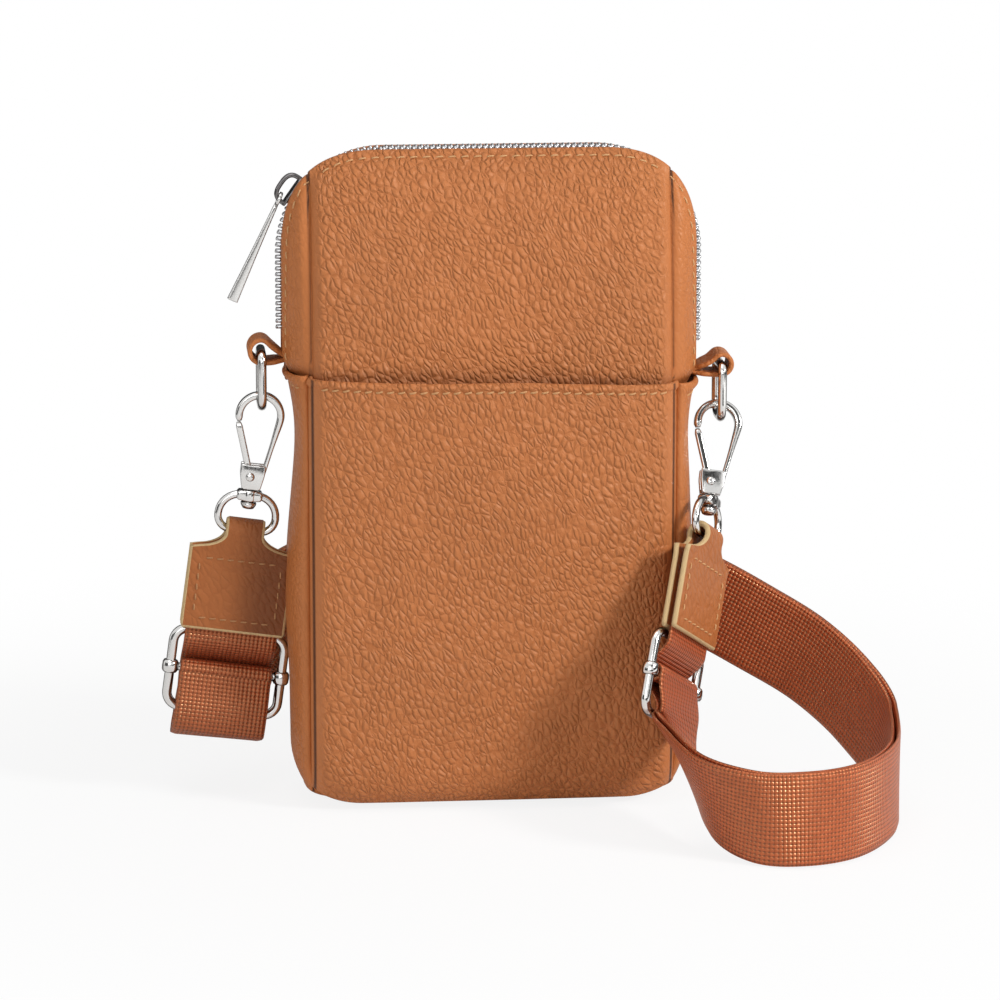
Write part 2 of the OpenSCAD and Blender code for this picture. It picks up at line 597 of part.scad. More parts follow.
// Leather end: folded round the eye's bar, narrow at the neck, webbing between its leaves
neck_w = 9.6;
neck_play = 0.95;    // leaves the swivel eye room to move in the neck
neck_in = eye_wire / 2 + neck_play;
neck_out = neck_in + leather_t;
leaf_in = web_t / 2 + fit;
neck_l = 8;
neck_low = 0.6;       // where the neck starts to widen
shoulder_r = (end_w - neck_w) / 2;
module strap_end() {
    color("chocolate") intersection() {
        translate([-end_w, 0, 0]) rotate([90, 0, 90]) linear_extrude(2 * end_w) {
            difference() {
                circle(r = neck_out);
                circle(r = neck_in);
                translate([-leaf_in, -neck_out - cut]) square([2 * leaf_in, neck_out + cut]);
            }
            for (s = [-1, 1]) mirror([s > 0 ? 0 : 1, 0]) {
                polygon([[neck_out, 0], [neck_in, 0], [leaf_in, -neck_l], [leaf_in + leather_t, -neck_l],
                    [neck_out * 0.99, -neck_out * 0.3]]);
                translate([leaf_in, -end_l]) square([leather_t, end_l - neck_l + fit]);
            }
        }
        translate([0, end_w, 0]) rotate([90, 0, 0]) linear_extrude(2 * end_w) difference() {
            union() {
                translate([-neck_w / 2, -neck_l]) square([neck_w, neck_l + neck_out + cut]);
                translate([-end_w / 2, -end_l]) square([end_w, end_l - neck_low]);
            }
            for (s = [-1, 1]) translate([s * end_w / 2, -neck_low]) circle(r = shoulder_r);
        }
    }
}
module left_strap_end() { in_frame(left_bar, left_w, left_l) strap_end(); }
module right_strap_end() { in_frame(right_bar, right_w, right_l) strap_end(); }

// Route of the strap from the right leather end, round its loop and behind the pouch, to the
// left leather end. Places are shares of the loop's reach, its forward reach and its rise.
function loop_pt(x, y, z) = [x * loop_out, y * loop_front, z];
function down(o, l, d) = o + d * l;
buckle_l = end_l + frame_wire / 2 + 2 * play + frame_h / 2;
turn_l = buckle_l + frame_h / 2 + frame_wire / 2 + web_t;
right_mid_pt = down(right_bar, right_l, buckle_l);
route = [
    down(right_bar, right_l, 0.45 * end_l), down(right_bar, right_l, 0.72 * end_l), down(right_bar, right_l, end_l),
    right_mid_pt, down(right_bar, right_l, turn_l),
    loop_pt(0.440, -0.560, 0.350 * loop_rise), loop_pt(0.480, -0.820, 0.265 * loop_rise),
    loop_pt(0.590, -0.965, loop_lie), loop_pt(0.720, -1.000, loop_lie),
    loop_pt(0.850, -0.920, loop_lie), loop_pt(0.950, -0.730, loop_lie), loop_pt(1.000, -0.500, loop_lie),
    loop_pt(0.995, -0.300, 0.290 * loop_rise), loop_pt(0.930, -0.130, 0.440 * loop_rise),
    loop_pt(0.830, 0.020, 0.580 * loop_rise), loop_pt(0.700, 0.140, 0.700 * loop_rise),
    loop_pt(0.570, 0.230, 0.810 * loop_rise), loop_pt(0.400, 0.310, 0.930 * loop_rise),
    loop_pt(0.150, 0.330, loop_rise), loop_pt(-0.120, 0.330, loop_rise), loop_pt(-0.360, 0.330, 0.940 * loop_rise),
    loop_pt(-0.540, 0.320, 0.780 * loop_rise), loop_pt(-0.650, 0.260, 0.560 * loop_rise),
    down(left_bar, left_l, turn_l + 0.14 * frame_h) + [0, 0.115 * loop_front, 0],
    down(left_bar, left_l, turn_l + 0.12 * frame_h) + [0, 0.030 * loop_front, 0],
    down(left_bar, left_l, turn_l),
    down(left_bar, left_l, buckle_l), down(left_bar, left_l, end_l),
    down(left_bar, left_l, 0.72 * end_l), down(left_bar, left_l, 0.45 * end_l)];
// Direction of the strap's width at each place of the route
wide_share = [right_w, right_w, right_w, right_w, right_w,
    [0.38, 0.62, -0.68], [0.20, 0.30, -0.93], [0.06, 0.08, -1], [0, 0, -1], [0, 0, -1], [0, 0, -1], [0, 0, -1],
    [-0.04, 0, -1], [-0.1, 0.03, -1], [-0.14, 0.03, -1], [-0.16, 0, -1],
    [-0.14, 0, -1], [-0.08, 0, -1], [0, 0, -1], [0.1, 0, -1], [0.35, 0, -0.94],
    [0.65, 0, -0.76], [0.85, 0, -0.52],
    left_w, left_w, left_w, left_w, left_w, left_w, left_w];
function mix(a, b, c, d, t) = 0.5 * ((2 * b) + (c - a) * t + (2 * a - 5 * b + 4 * c - d) * t * t
    + (3 * b - 3 * c + d - a) * t * t * t);
function spline(p, u) = let(n = len(p) - 1, i = min(n - 1, floor(u)), t = u - i)
    mix(p[clampi(i - 1, n)], p[i], p[i + 1], p[clampi(i + 2, n)], t);
steps = 6;
stations = [for (u = [0 : 1 / steps : len(route) - 1]) spline(route, u)];
wides = [for (u = [0 : 1 / steps : len(route) - 1]) spline(wide_share, u)];
last = len(stations) - 1;
function tangent(i) = unit(stations[clampi(i + 1, last)] - stations[clampi(i - 1, last)]);
function wide_at(i) = let(t = tangent(i), w = wides[i]) unit(w - t * (w * t));
function face_at(i) = cross3(tangent(i), wide_at(i));

// A band of webbing: stations a to b, each moved off the route by the offset list
module band(a, b, off) {
    n = b - a;
    pts = [for (i = [0:n]) let(c = stations[a + i] + face_at(a + i) * off[i], w = wide_at(a + i) * web_w / 2,
        f = face_at(a + i) * web_t / 2) each [c - w - f, c + w - f, c + w + f, c - w + f]];
    faces = concat([[0, 1, 2], [0, 2, 3]],
        [for (i = [0:n - 1], k = [0:3]) let(p = 4 * i + k, q = 4 * i + (k + 1) % 4) each
            k < 2 ? [[p, p + 4, q + 4], [p, q + 4, q]] : [[p, p + 4, q], [p + 4, q + 4, q]]],
        [[4 * n + 2, 4 * n + 1, 4 * n], [4 * n + 3, 4 * n + 2, 4 * n]]);
    color("firebrick") polyhedron(pts, faces, convexity = 8);
}
right_mid = 3 * steps;
left_mid = last - 3 * steps;
bar_d = 2.4;
apart = web_t + play;                                   // between the middles of the two bands
lift = frame_wire / 2 + 2 * play + web_t / 2;           // from the threaded band to a buckle's plane behind it
sleeve_r = bar_d / 2 + play + web_t;                    // of the band sewn round a bar
hump = lift + sleeve_r + play + web_t / 2;
sewn = lift - sleeve_r + web_t / 2 + fit;               // of the sewn band's middle
rail_l = frame_h / 2 - frame_wire / 2 - play;
function ease(s) = (1 - cos(180 * min(1, max(0, s)))) / 2;
function near_mid(i, m) = 1 - ease(norm(stations[i] - stations[m]) / rail_l);
function handed_over(i) = ease((i / last - 0.25) * 2);
// Band a passes over the right buckle's rails and behind its bar, and ends round the left bar.
// Band b does the same the other way round.
function off_a(i) = (sewn + apart) * near_mid(i, left_mid) - hump * near_mid(i, right_mid)
    - apart * handed_over(i);
function off_b(i) = hump * near_mid(i, left_mid) - (sewn + apart) * near_mid(i, right_mid)
    + apart * (1 - handed_over(i));
module sleeve() { rotate([0, 90, 0]) difference() {
    cylinder(r = sleeve_r, h = web_w, center = true);
    cylinder(r = sleeve_r - web_t, h = web_w + 2 * cut, center = true);
} }
module strap_band_a() {
    band(0, left_mid, [for (i = [0:left_mid]) off_a(i)]);
    color("firebrick") at_left_buckle() sleeve();
}
module strap_band_b() {
    band(right_mid, last, [for (i = [right_mid:last]) off_b(i)]);
    color("firebrick") at_right_buckle() sleeve();
}

// Buckle: a wire frame, and a bar across its middle that the strap is sewn round
frame_turn = 4;
knob_rim = 1;
module buckle_frame() {
    color("gainsboro") translate([0, 0, frame_h / 2]) rotate([0, 0, 90])
        wire_loop(frame_w, frame_h, frame_turn, frame_turn, frame_wire);
}
module buckle_bar() {
    color("gainsboro") {
        rotate([0, 90, 0]) cylinder(d = bar_d, h = frame_w - frame_wire - 2 * fit, center = true);
        for (s = [-1, 1]) translate([s * frame_w / 2, 0, 0]) difference() {
            cylinder(d = frame_wire + 2 * knob_rim, h = 1.6 * bar_d, center = true);
            cylinder(d = frame_wire + 2 * fit, h = 1.6 * bar_d + 2 * cut, center = true);
        }
    }
}
module at_right_buckle() { in_frame(right_mid_pt - lift * face_at(right_mid), right_w, right_l) children(); }
module at_left_buckle() {
    in_frame(down(left_bar, left_l, buckle_l) + lift * face_at(left_mid), left_w, left_l) children();
}
module right_buckle_frame() { at_right_buckle() buckle_frame(); }
module left_buckle_frame() { at_left_buckle() buckle_frame(); }
module right_buckle_bar() { at_right_buckle() buckle_bar(); }
module left_buckle_bar() { at_left_buckle() buckle_bar(); }

front_panel();
back_panel();
front_pocket();
base_panel();
left_gusset();
right_gusset();
left_front_strip();
left_back_strip();
right_front_strip();
right_back_strip();
lining();
zip_tape_front();
zip_tape_back();
zip_teeth_front();
zip_teeth_back();
zip_slider();
zip_puller();
left_tab();
right_tab();
left_ring();
right_ring();
left_hook();
right_hook();
left_gate();
right_gate();
left_gate_rivet();
right_gate_rivet();
left_eye();
right_eye();
left_strap_end();
right_strap_end();
left_buckle_frame();
right_buckle_frame();
left_buckle_bar();
right_buckle_bar();
strap_band_a();
strap_band_b();
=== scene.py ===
import bpy, bmesh, math
import numpy as np
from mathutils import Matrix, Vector, noise


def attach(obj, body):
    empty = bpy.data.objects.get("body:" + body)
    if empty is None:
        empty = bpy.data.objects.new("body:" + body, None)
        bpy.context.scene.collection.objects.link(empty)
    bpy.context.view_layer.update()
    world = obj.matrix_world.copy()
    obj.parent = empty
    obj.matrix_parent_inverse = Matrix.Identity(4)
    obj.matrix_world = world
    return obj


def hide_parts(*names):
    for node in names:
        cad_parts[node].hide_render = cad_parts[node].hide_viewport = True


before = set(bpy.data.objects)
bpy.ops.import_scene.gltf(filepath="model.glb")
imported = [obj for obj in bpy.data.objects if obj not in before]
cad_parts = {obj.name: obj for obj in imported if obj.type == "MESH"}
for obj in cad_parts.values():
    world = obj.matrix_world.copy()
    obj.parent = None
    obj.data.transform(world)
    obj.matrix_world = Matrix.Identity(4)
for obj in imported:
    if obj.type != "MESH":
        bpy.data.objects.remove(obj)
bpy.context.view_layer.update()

mm = 0.001


# Small helpers: lengths are in millimetres until a mesh is made

def vec(*c):
    return np.array(c, float)


def unit(v):
    return v / max(np.linalg.norm(v), 1e-9)


# The same for each vector of an array
def units(a):
    return a / np.maximum(np.linalg.norm(a, axis=-1, keepdims=True), 1e-9)


def smooth(t):
    t = np.clip(t, 0, 1)
    return t * t * (3 - 2 * t)


def hump(d, middle, width):
    return np.exp(-((d - middle) / width) ** 2)


def soft(x, y, z, size):
    return noise.noise(Vector((x / size, y / size, z / size)))


# Differences along the first axis, over both neighbours where there are two
def slopes(a):
    d = np.empty_like(a)
    d[1:-1] = a[2:] - a[:-2]
    d[0], d[-1] = a[1] - a[0], a[-1] - a[-2]
    return d


def gridNormals(g):
    across = slopes(g.swapaxes(0, 1)).swapaxes(0, 1)
    return units(np.cross(across, slopes(g)))


# A turn about X, Y or Z in degrees
def turned(points, axis, angle):
    p, a = np.array(points, float), math.radians(angle)
    i = "XYZ".index(axis)
    j, k = (i + 1) % 3, (i + 2) % 3
    first, second = p[..., j].copy(), p[..., k].copy()
    p[..., j] = first * math.cos(a) - second * math.sin(a)
    p[..., k] = first * math.sin(a) + second * math.cos(a)
    return p


def turnHalf(points):
    return np.asarray(points) * vec(-1, -1, 1)


def newObject(name, data):
    obj = bpy.data.objects.new(name, data)
    bpy.context.scene.collection.objects.link(obj)
    return obj


def makePiece(name, points, faces, materials, body="pouch", slot="grain_leather", nodes=(), uv=None,
              faceMat=None, shade=None, near=None):
    mesh = bpy.data.meshes.new(name)
    mesh.from_pydata((np.asarray(points) * mm).tolist(), [], faces)
    for m in materials:
        mesh.materials.append(m)
    if uv is not None:
        layer = mesh.uv_layers.new(name="UVMap")
        idx = np.empty(len(mesh.loops), np.int32)
        mesh.loops.foreach_get("vertex_index", idx)
        layer.data.foreach_set("uv", np.asarray(uv)[idx].astype(np.float32).ravel())
    for label, values in (("shade", shade), ("near", near)):
        if values is not None:
            full = np.zeros(len(mesh.vertices), np.float32)
            full[:values.size] = values.ravel()
            mesh.attributes.new(label, "FLOAT", "POINT").data.foreach_set("value", full)
    if faceMat is not None:
        mesh.polygons.foreach_set("material_index", np.asarray(faceMat, np.int32))
    mesh.polygons.foreach_set("use_smooth", np.ones(len(mesh.polygons), bool))
    mesh.update()
    bm = bmesh.new()
    bm.from_mesh(mesh)
    bmesh.ops.recalc_face_normals(bm, faces=bm.faces)
    bm.to_mesh(mesh)
    bm.free()
    obj = newObject(name, mesh)
    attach(obj, body)
    if nodes:
        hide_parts(*nodes)
    return obj


# A grid of outer points becomes a closed leaf with rounded rims
def sewnSheet(g, thick, rimSteps=4):
    rows, cols = g.shape[:2]
    n = gridNormals(g)
    count = rows * cols
    at = lambda i, j: i * cols + j
    faces = []
    for i in range(rows - 1):
        for j in range(cols - 1):
            a, b, c, d = at(i, j), at(i + 1, j), at(i + 1, j + 1), at(i, j + 1)
            faces += [(a, b, c, d), (count + a, count + d, count + c, count + b)]
    loop = [(0, j) for j in range(cols)] + [(i, cols - 1) for i in range(1, rows)] \
        + [(rows - 1, j) for j in range(cols - 2, -1, -1)] + [(i, 0) for i in range(rows - 2, 0, -1)]
    ring, columns = [], []
    for i, j in loop:
        out = g[i, j] - g[min(max(i, 1), rows - 2), min(max(j, 1), cols - 2)]
        out = unit(out - n[i, j] * (out @ n[i, j]))
        first = 2 * count + len(ring)
        columns.append([at(i, j), *range(first, first + rimSteps - 1), count + at(i, j)])
        for k in range(1, rimSteps):
            a = math.pi * k / rimSteps
            ring.append(g[i, j] - n[i, j] * thick / 2 * (1 - math.cos(a)) + out * thick / 2 * math.sin(a))
    for a, b in zip(columns, columns[1:] + columns[:1]):
        faces += [(a[k], a[k + 1], b[k + 1], b[k]) for k in range(rimSteps)]
    rim = [0] * (2 * (rows - 1) * (cols - 1)) + [1] * (len(loop) * rimSteps)
    return np.vstack([g.reshape(-1, 3), (g - n * thick).reshape(-1, 3), np.array(ring)]), faces, rim


def along(path):
    step = np.linalg.norm(np.diff(path, axis=0), axis=1)
    return np.concatenate([[0], np.cumsum(step)])


def resample(path, s, places):
    return np.stack([np.interp(places, s, path[:, k]) for k in range(path.shape[1])], axis=1)


# A line in evenly spaced points, its corners eased in some passes
def eased(line, count, passes):
    line = np.array(line)
    s = along(line)
    line = resample(line, s, np.linspace(0, s[-1], count))
    for _ in range(passes):
        line[1:-1] = line[1:-1] * 0.5 + (line[:-2] + line[2:]) * 0.25
    return line


# Faces between rings of many points each; an open run gets a face at both ends
def ringFaces(rings, many, closed=False):
    faces = []
    for i in range(rings if closed else rings - 1):
        j = (i + 1) % rings
        for k in range(many):
            q = (k + 1) % many
            faces.append((i * many + k, i * many + q, j * many + q, j * many + k))
    if not closed:
        faces += [tuple(range(many)), tuple((rings - 1) * many + k for k in range(many))]
    return faces


# A closed profile carried along a path without twist; start is the direction of the profile's first axis
def sweep(path, start, profile, closed=False, scale=None):
    path = np.array(path)
    ahead = units(slopes(path))
    size = np.ones(len(path)) if scale is None else scale
    pts = []
    a = np.array(start, float)
    for p, t, s in zip(path, ahead, size):
        a = unit(a - t * (a @ t))
        b = np.cross(t, a)
        pts += [p + (a * u + b * v) * s for u, v in profile]
    return pts, ringFaces(len(path), len(profile), closed)


def circleProfile(r, n=18):
    return [(r * math.cos(2 * math.pi * k / n), r * math.sin(2 * math.pi * k / n)) for k in range(n)]


# Quarter turns about corners, each given as centre, centre, radius and first angle
def quarterTurns(corners, steps):
    turns = [(x, y, r, math.radians(a + 90 * k / steps)) for x, y, r, a in corners for k in range(steps + 1)]
    return [(x + r * math.cos(a), y + r * math.sin(a)) for x, y, r, a in turns]


def roundedProfile(w, h, r, n=4):
    x, y = w / 2 - r, h / 2 - r
    return quarterTurns([(x, y, r, 0), (-x, y, r, 90), (-x, -y, r, 180), (x, -y, r, 270)], n)


def joinParts(parts):
    pts, faces = [], []
    for p, f in parts:
        base = len(pts)
        pts.extend(list(p))
        faces.extend([tuple(base + i for i in face) for face in f])
    return pts, faces


# profile is (radius, height) from one end to the other, about Z
def lathe(profile, n=28):
    turns = [2 * math.pi * k / n for k in range(n)]
    pts = [vec(r * math.cos(a), r * math.sin(a), h) for r, h in profile for a in turns]
    return pts, ringFaces(len(profile), n)


# A flat casting in the XZ plane with rounded edges on both faces
def bevelled(outline, y0, y1, bevel):
    ring = np.array(outline, float)
    after = np.roll(ring, -1, axis=0)
    sign = 1 if np.sum(ring[:, 0] * after[:, 1] - after[:, 0] * ring[:, 1]) > 0 else -1
    inward = []
    for i in range(len(ring)):
        a, b = unit(ring[i] - ring[i - 1]), unit(after[i] - ring[i])
        na, nb = sign * vec(-a[1], a[0]), sign * vec(-b[1], b[0])
        mid = unit(na + nb)
        inward.append(mid / max(0.4, mid @ na))
    layers = [(bevel * (1 - math.sin(t)), y0 + bevel * (1 - math.cos(t))) for t in np.radians((0, 30, 60, 90))]
    layers += [(d, y1 - (y - y0)) for d, y in reversed(layers)]
    pts = []
    for d, y in layers:
        for p, c in zip(ring, inward):
            pts.append(vec(p[0] + c[0] * d, y, p[1] + c[1] * d))
    return pts, ringFaces(len(layers), len(ring))


# Node helpers

# A socket takes a value, or a link from another node
def feed(socket, value):
    if isinstance(value, (int, float, tuple)):
        socket.default_value = value
    else:
        socket.id_data.links.new(value, socket)


def setInputs(node, **values):
    for label, value in values.items():
        feed(node.inputs[label.replace("_", " ")], value)
    return node


def newNode(nt, kind, **values):
    return setInputs(nt.nodes.new("ShaderNode" + kind), **values)


def mathNode(nt, op, *values):
    n = newNode(nt, "Math")
    n.operation = op
    for socket, value in zip(n.inputs, values):
        feed(socket, value)
    return n.outputs[0]


def times(nt, a, b):
    return mathNode(nt, "MULTIPLY", a, b)


def plus(nt, a, b):
    return mathNode(nt, "ADD", a, b)


def oneMinus(nt, a):
    return mathNode(nt, "SUBTRACT", 1.0, a)


def remap(nt, value, a, b, c=0.0, d=1.0, kind="SMOOTHSTEP"):
    n = newNode(nt, "MapRange", Value=value, From_Min=a, From_Max=b, To_Min=c, To_Max=d)
    n.interpolation_type = kind
    return n.outputs[0]


def mixShaders(nt, share, a, b):
    mix = newNode(nt, "MixShader")
    for socket, value in zip(mix.inputs, (share, a.outputs[0], b.outputs[0])):
        feed(socket, value)
    return mix.outputs[0]


def plainMaterial(name, colour, **values):
    m = bpy.data.materials.new(name)
    m.use_nodes = True
    setInputs(m.node_tree.nodes["Principled BSDF"], Base_Color=colour, Roughness=0.9, **values)
    return m


# Camera and studio

camera = dict(azimuth=-5.0, elevation=12.0, distance=1.3, target=(0, 0, 0.094), lens=163.8, sensor=36,
              shiftX=0.0115, shiftY=-0.026, clip=(0.05, 20))


def placeCamera(c):
    data = bpy.data.cameras.new("photoCamera")
    obj = newObject("photoCamera", data)
    a, e = math.radians(c["azimuth"]), math.radians(c["elevation"])
    back = Vector((math.sin(a) * math.cos(e), -math.cos(a) * math.cos(e), math.sin(e)))
    obj.location = Vector(c["target"]) + back * c["distance"]
    obj.rotation_euler = (-back).to_track_quat("-Z", "Y").to_euler()
    data.sensor_width = c["sensor"]
    data.lens = c["lens"]
    data.shift_x, data.shift_y = c["shiftX"], c["shiftY"]
    data.clip_start, data.clip_end = c["clip"]
    bpy.context.scene.camera = obj


placeCamera(camera)

# lamps are name, place, size and power; cards are name, place and half sizes
studio = dict(
    ambient=0.25, ambientColour=(1, 0.985, 0.97, 1), aim=(0, 0, 0.1), floorHalf=6,
    floorColour=(0.93, 0.93, 0.93, 1), floorWhite=0.86, whiteFrom=0.1, whiteTo=0.32,
    cardColour=(0.02, 0.02, 0.02, 1),
    lamps=[("keyLamp", (1.06, -0.74, 0.76), 0.3, 15.2), ("fillLamp", (-0.35, -1.8, 0.8), 1.2, 6),
           ("topLamp", (-0.1, -0.2, 1.5), 0.9, 4.4), ("leftLamp", (-1.1, -0.45, 0.25), 0.5, 1.8)],
    cards=[("cardLeft", (-0.78, -0.42, 0.05), (0.4, 0.34)), ("cardRight", (0.8, -0.3, 0.02), (0.5, 0.3)),
           ("cardFront", (0.1, -1.9, 0.0), (0.55, 0.3)), ("cardAbove", (0.32, -0.94, 0.86), (0.34, 0.17)),
           ("cardBack", (-0.2, 0.9, 0.25), (0.5, 0.3)), ("cardLow", (0.13, -0.3, 0.036), (0.09, 0.032))])


def aimAtPouch(obj, place):
    obj.location = place
    obj.rotation_euler = (Vector(studio["aim"]) - Vector(place)).to_track_quat("-Z", "Y").to_euler()


def lightStudio():
    scene = bpy.context.scene
    scene.view_settings.view_transform = "Standard"
    scene.world = bpy.data.worlds.new("studioWorld")
    scene.world.use_nodes = True
    nt = scene.world.node_tree
    nt.nodes.clear()
    path = newNode(nt, "LightPath")
    lit = newNode(nt, "Background", Strength=studio["ambient"], Color=studio["ambientColour"])
    seen = newNode(nt, "Background", Strength=1)
    direct = mathNode(nt, "MAXIMUM", path.outputs["Is Camera Ray"], path.outputs["Is Glossy Ray"])
    direct = mathNode(nt, "MAXIMUM", direct, path.outputs["Is Transmission Ray"])
    newNode(nt, "OutputWorld", Surface=mixShaders(nt, direct, lit, seen))
    for name, place, size, power in studio["lamps"]:
        data = bpy.data.lights.new(name, "AREA")
        data.size = size
        data.energy = power
        aimAtPouch(newObject(name, data), place)


def stagePlane(name, w, h, material):
    mesh = bpy.data.meshes.new(name)
    mesh.from_pydata([(-w, -h, 0), (w, -h, 0), (w, h, 0), (-w, h, 0)], [], [(0, 1, 2, 3)])
    mesh.materials.append(material)
    obj = newObject(name, mesh)
    return obj


def layFloor():
    m = plainMaterial("studioFloor", studio["floorColour"], Specular_IOR_Level=0.1)
    nt = m.node_tree
    far = newNode(nt, "VectorMath")
    far.operation = "LENGTH"
    feed(far.inputs[0], newNode(nt, "TexCoord").outputs["Object"])
    share = remap(nt, far.outputs["Value"], studio["whiteFrom"], studio["whiteTo"], studio["floorWhite"], 1.0)
    share = times(nt, newNode(nt, "LightPath").outputs["Is Camera Ray"], share)
    mix = mixShaders(nt, share, nt.nodes["Principled BSDF"], newNode(nt, "Emission"))
    setInputs(nt.nodes["Material Output"], Surface=mix)
    stagePlane("floor", studio["floorHalf"], studio["floorHalf"], m)


# Dark cards that only the gloss sees
def standCards():
    dark = plainMaterial("studioCard", studio["cardColour"])
    for name, place, (w, h) in studio["cards"]:
        card = stagePlane(name, w, h, dark)
        aimAtPouch(card, place)
        card.visible_camera = card.visible_diffuse = card.visible_shadow = False


lightStudio()
layFloor()
standCards()
print("studio ready")


# Materials

def newGroup(name, inputs, outputs):
    g = bpy.data.node_groups.new(name, "ShaderNodeTree")
    g.interface.new_socket(name=inputs[0], in_out="INPUT", socket_type="NodeSocketVector")
    for label, value in inputs[1:]:
        s = g.interface.new_socket(name=label, in_out="INPUT", socket_type="NodeSocketFloat")
        s.default_value = value
    for label in outputs:
        g.interface.new_socket(name=label, in_out="OUTPUT", socket_type="NodeSocketFloat")
    return g, g.nodes.new("NodeGroupInput"), g.nodes.new("NodeGroupOutput")


def mixColour(nt, factor, a, b):
    n = newNode(nt, "Mix")
    n.data_type = "RGBA"
    for label, kind, v in (("Factor", "VALUE", factor), ("A", "RGBA", a), ("B", "RGBA", b)):
        feed([s for s in n.inputs if s.name == label and s.enabled and s.type == kind][0], v)
    return [s for s in n.outputs if s.type == "RGBA"][0]


def noiseNode(nt, vector, scale, detail=2.0, rough=0.5):
    return newNode(nt, "TexNoise", Vector=vector, Scale=scale, Detail=detail, Roughness=rough).outputs


# Milled leather: domed pebbles, longer than wide and on a slant, with sunk creases between
pebbles = dict(bends=((34, 0.008), (480, 0.0008)), slant=-24, stretch=(0.74, 1.0, 1.45), uneven=0.94,
               fineScale=1.75, fineWidth=0.14, domeShare=0.42, slopeShare=0.58, dents=(1100, 0.3),
               pores=(4600, 0.07))


def pebbleGroup():
    inputs = ("Vector", ("Pebble Size", 0.0026), ("Crease Width", 0.12), ("Flatness", 0.0))
    g, i, o = newGroup("pebbledGrain", inputs, ("Crease", "Tone", "Height"))
    start = place = i.outputs["Vector"]
    for scale, reach in pebbles["bends"]:
        shift = newNode(g, "VectorMath")
        shift.operation = "MULTIPLY_ADD"
        for socket, value in zip(shift.inputs, (noiseNode(g, start, scale, 1)["Color"], (reach,) * 3, place)):
            feed(socket, value)
        place = shift.outputs[0]
    turn = newNode(g, "Mapping", Vector=place, Rotation=(0, math.radians(pebbles["slant"]), 0))
    turn.vector_type = "TEXTURE"
    setInputs(turn, Scale=pebbles["stretch"])
    perMetre = mathNode(g, "DIVIDE", 1.0, i.outputs["Pebble Size"])

    def cells(feature, scale):
        n = newNode(g, "TexVoronoi", Vector=turn.outputs[0], Scale=scale, Randomness=pebbles["uneven"])
        n.feature = feature
        return n.outputs

    cell = cells("DISTANCE_TO_EDGE", perMetre)["Distance"]
    fine = cells("DISTANCE_TO_EDGE", times(g, perMetre, pebbles["fineScale"]))["Distance"]
    tint = cells("F1", perMetre)
    edge = remap(g, cell, 0.0, i.outputs["Crease Width"])
    some = remap(g, noiseNode(g, start, 140, 1)["Fac"], 0.5, 0.66, 0.0, 0.25)
    smallIn = oneMinus(g, times(g, oneMinus(g, remap(g, fine, 0.0, pebbles["fineWidth"])), some))
    flat = oneMinus(g, i.outputs["Flatness"])
    crease = times(g, oneMinus(g, times(g, edge, smallIn)), flat)
    opened = remap(g, noiseNode(g, start, 330, 1)["Fac"], 0.38, 0.62, 0.25, 1.0)
    slope = times(g, remap(g, cell, -0.06, 0.3), smallIn)
    dome = plus(g, times(g, remap(g, tint["Distance"], 0.8, 0.0), pebbles["domeShare"]),
                times(g, slope, pebbles["slopeShare"]))
    dents = times(g, noiseNode(g, start, pebbles["dents"][0], 2)["Fac"], pebbles["dents"][1])
    pores = times(g, noiseNode(g, start, pebbles["pores"][0], 2, 0.6)["Fac"], pebbles["pores"][1])
    hue = newNode(g, "SeparateColor", Color=tint["Color"])
    height = plus(g, plus(g, times(g, dome, flat), times(g, dents, flat)), pores)
    setInputs(o, Crease=times(g, crease, opened), Tone=hue.outputs[0], Height=height)
    return g


# Slow blotches of handling, and fine streaks
def wearGroup():
    g, i, o = newGroup("handlingWear", ("Vector", ("Patch Size", 0.02)), ("Patches", "Streaks"))
    perMetre = mathNode(g, "DIVIDE", 1.0, i.outputs["Patch Size"])
    patches = noiseNode(g, i.outputs["Vector"], perMetre, 3)
    streaks = noiseNode(g, i.outputs["Vector"], times(g, perMetre, 22.0), 3, 0.7)
    setInputs(o, Patches=patches["Fac"], Streaks=streaks["Fac"])
    return g


# Webbing in a plain weave: raised floats in a grid, dark dots between; U across and V along, in mm
def weaveGroup():
    g, i, o = newGroup("plainWeave", ("UV", ("Row", 0.95), ("Float", 0.95)), ("Thread", "Shade", "Height"))
    sep = newNode(g, "SeparateXYZ", Vector=i.outputs["UV"])
    cell = newNode(g, "CombineXYZ")
    waves = []
    for axis, size in (("X", "Float"), ("Y", "Row")):
        place = mathNode(g, "DIVIDE", sep.outputs[axis], i.outputs[size])
        feed(cell.inputs[axis], mathNode(g, "FLOOR", place))
        waves.append(mathNode(g, "SINE", times(g, mathNode(g, "FRACT", place), math.pi)))
    dash, rib = waves
    dot = times(g, oneMinus(g, rib), oneMinus(g, dash))
    raised = plus(g, times(g, mathNode(g, "POWER", rib, 0.55), 0.45),
                  times(g, mathNode(g, "POWER", dash, 0.55), 0.55))
    height = times(g, raised, oneMinus(g, dot))
    white = newNode(g, "TexWhiteNoise", Vector=cell.outputs[0])
    setInputs(o, Thread=remap(g, height, 0.2, 0.72), Shade=white.outputs["Value"], Height=height)
    return g


groups = dict(pebble=pebbleGroup(), wear=wearGroup(), weave=weaveGroup())


def startMaterial(name):
    m = bpy.data.materials.new(name)
    m.use_nodes = True
    nt = m.node_tree
    return m, nt, nt.nodes["Principled BSDF"], newNode(nt, "TexCoord").outputs["Object"]


def placeGroup(nt, key, **values):
    n = newNode(nt, "Group")
    n.node_tree = groups[key]
    return setInputs(n, **values).outputs


def attributeNode(nt, label):
    n = newNode(nt, "Attribute")
    n.attribute_name = label
    return n.outputs["Fac"]


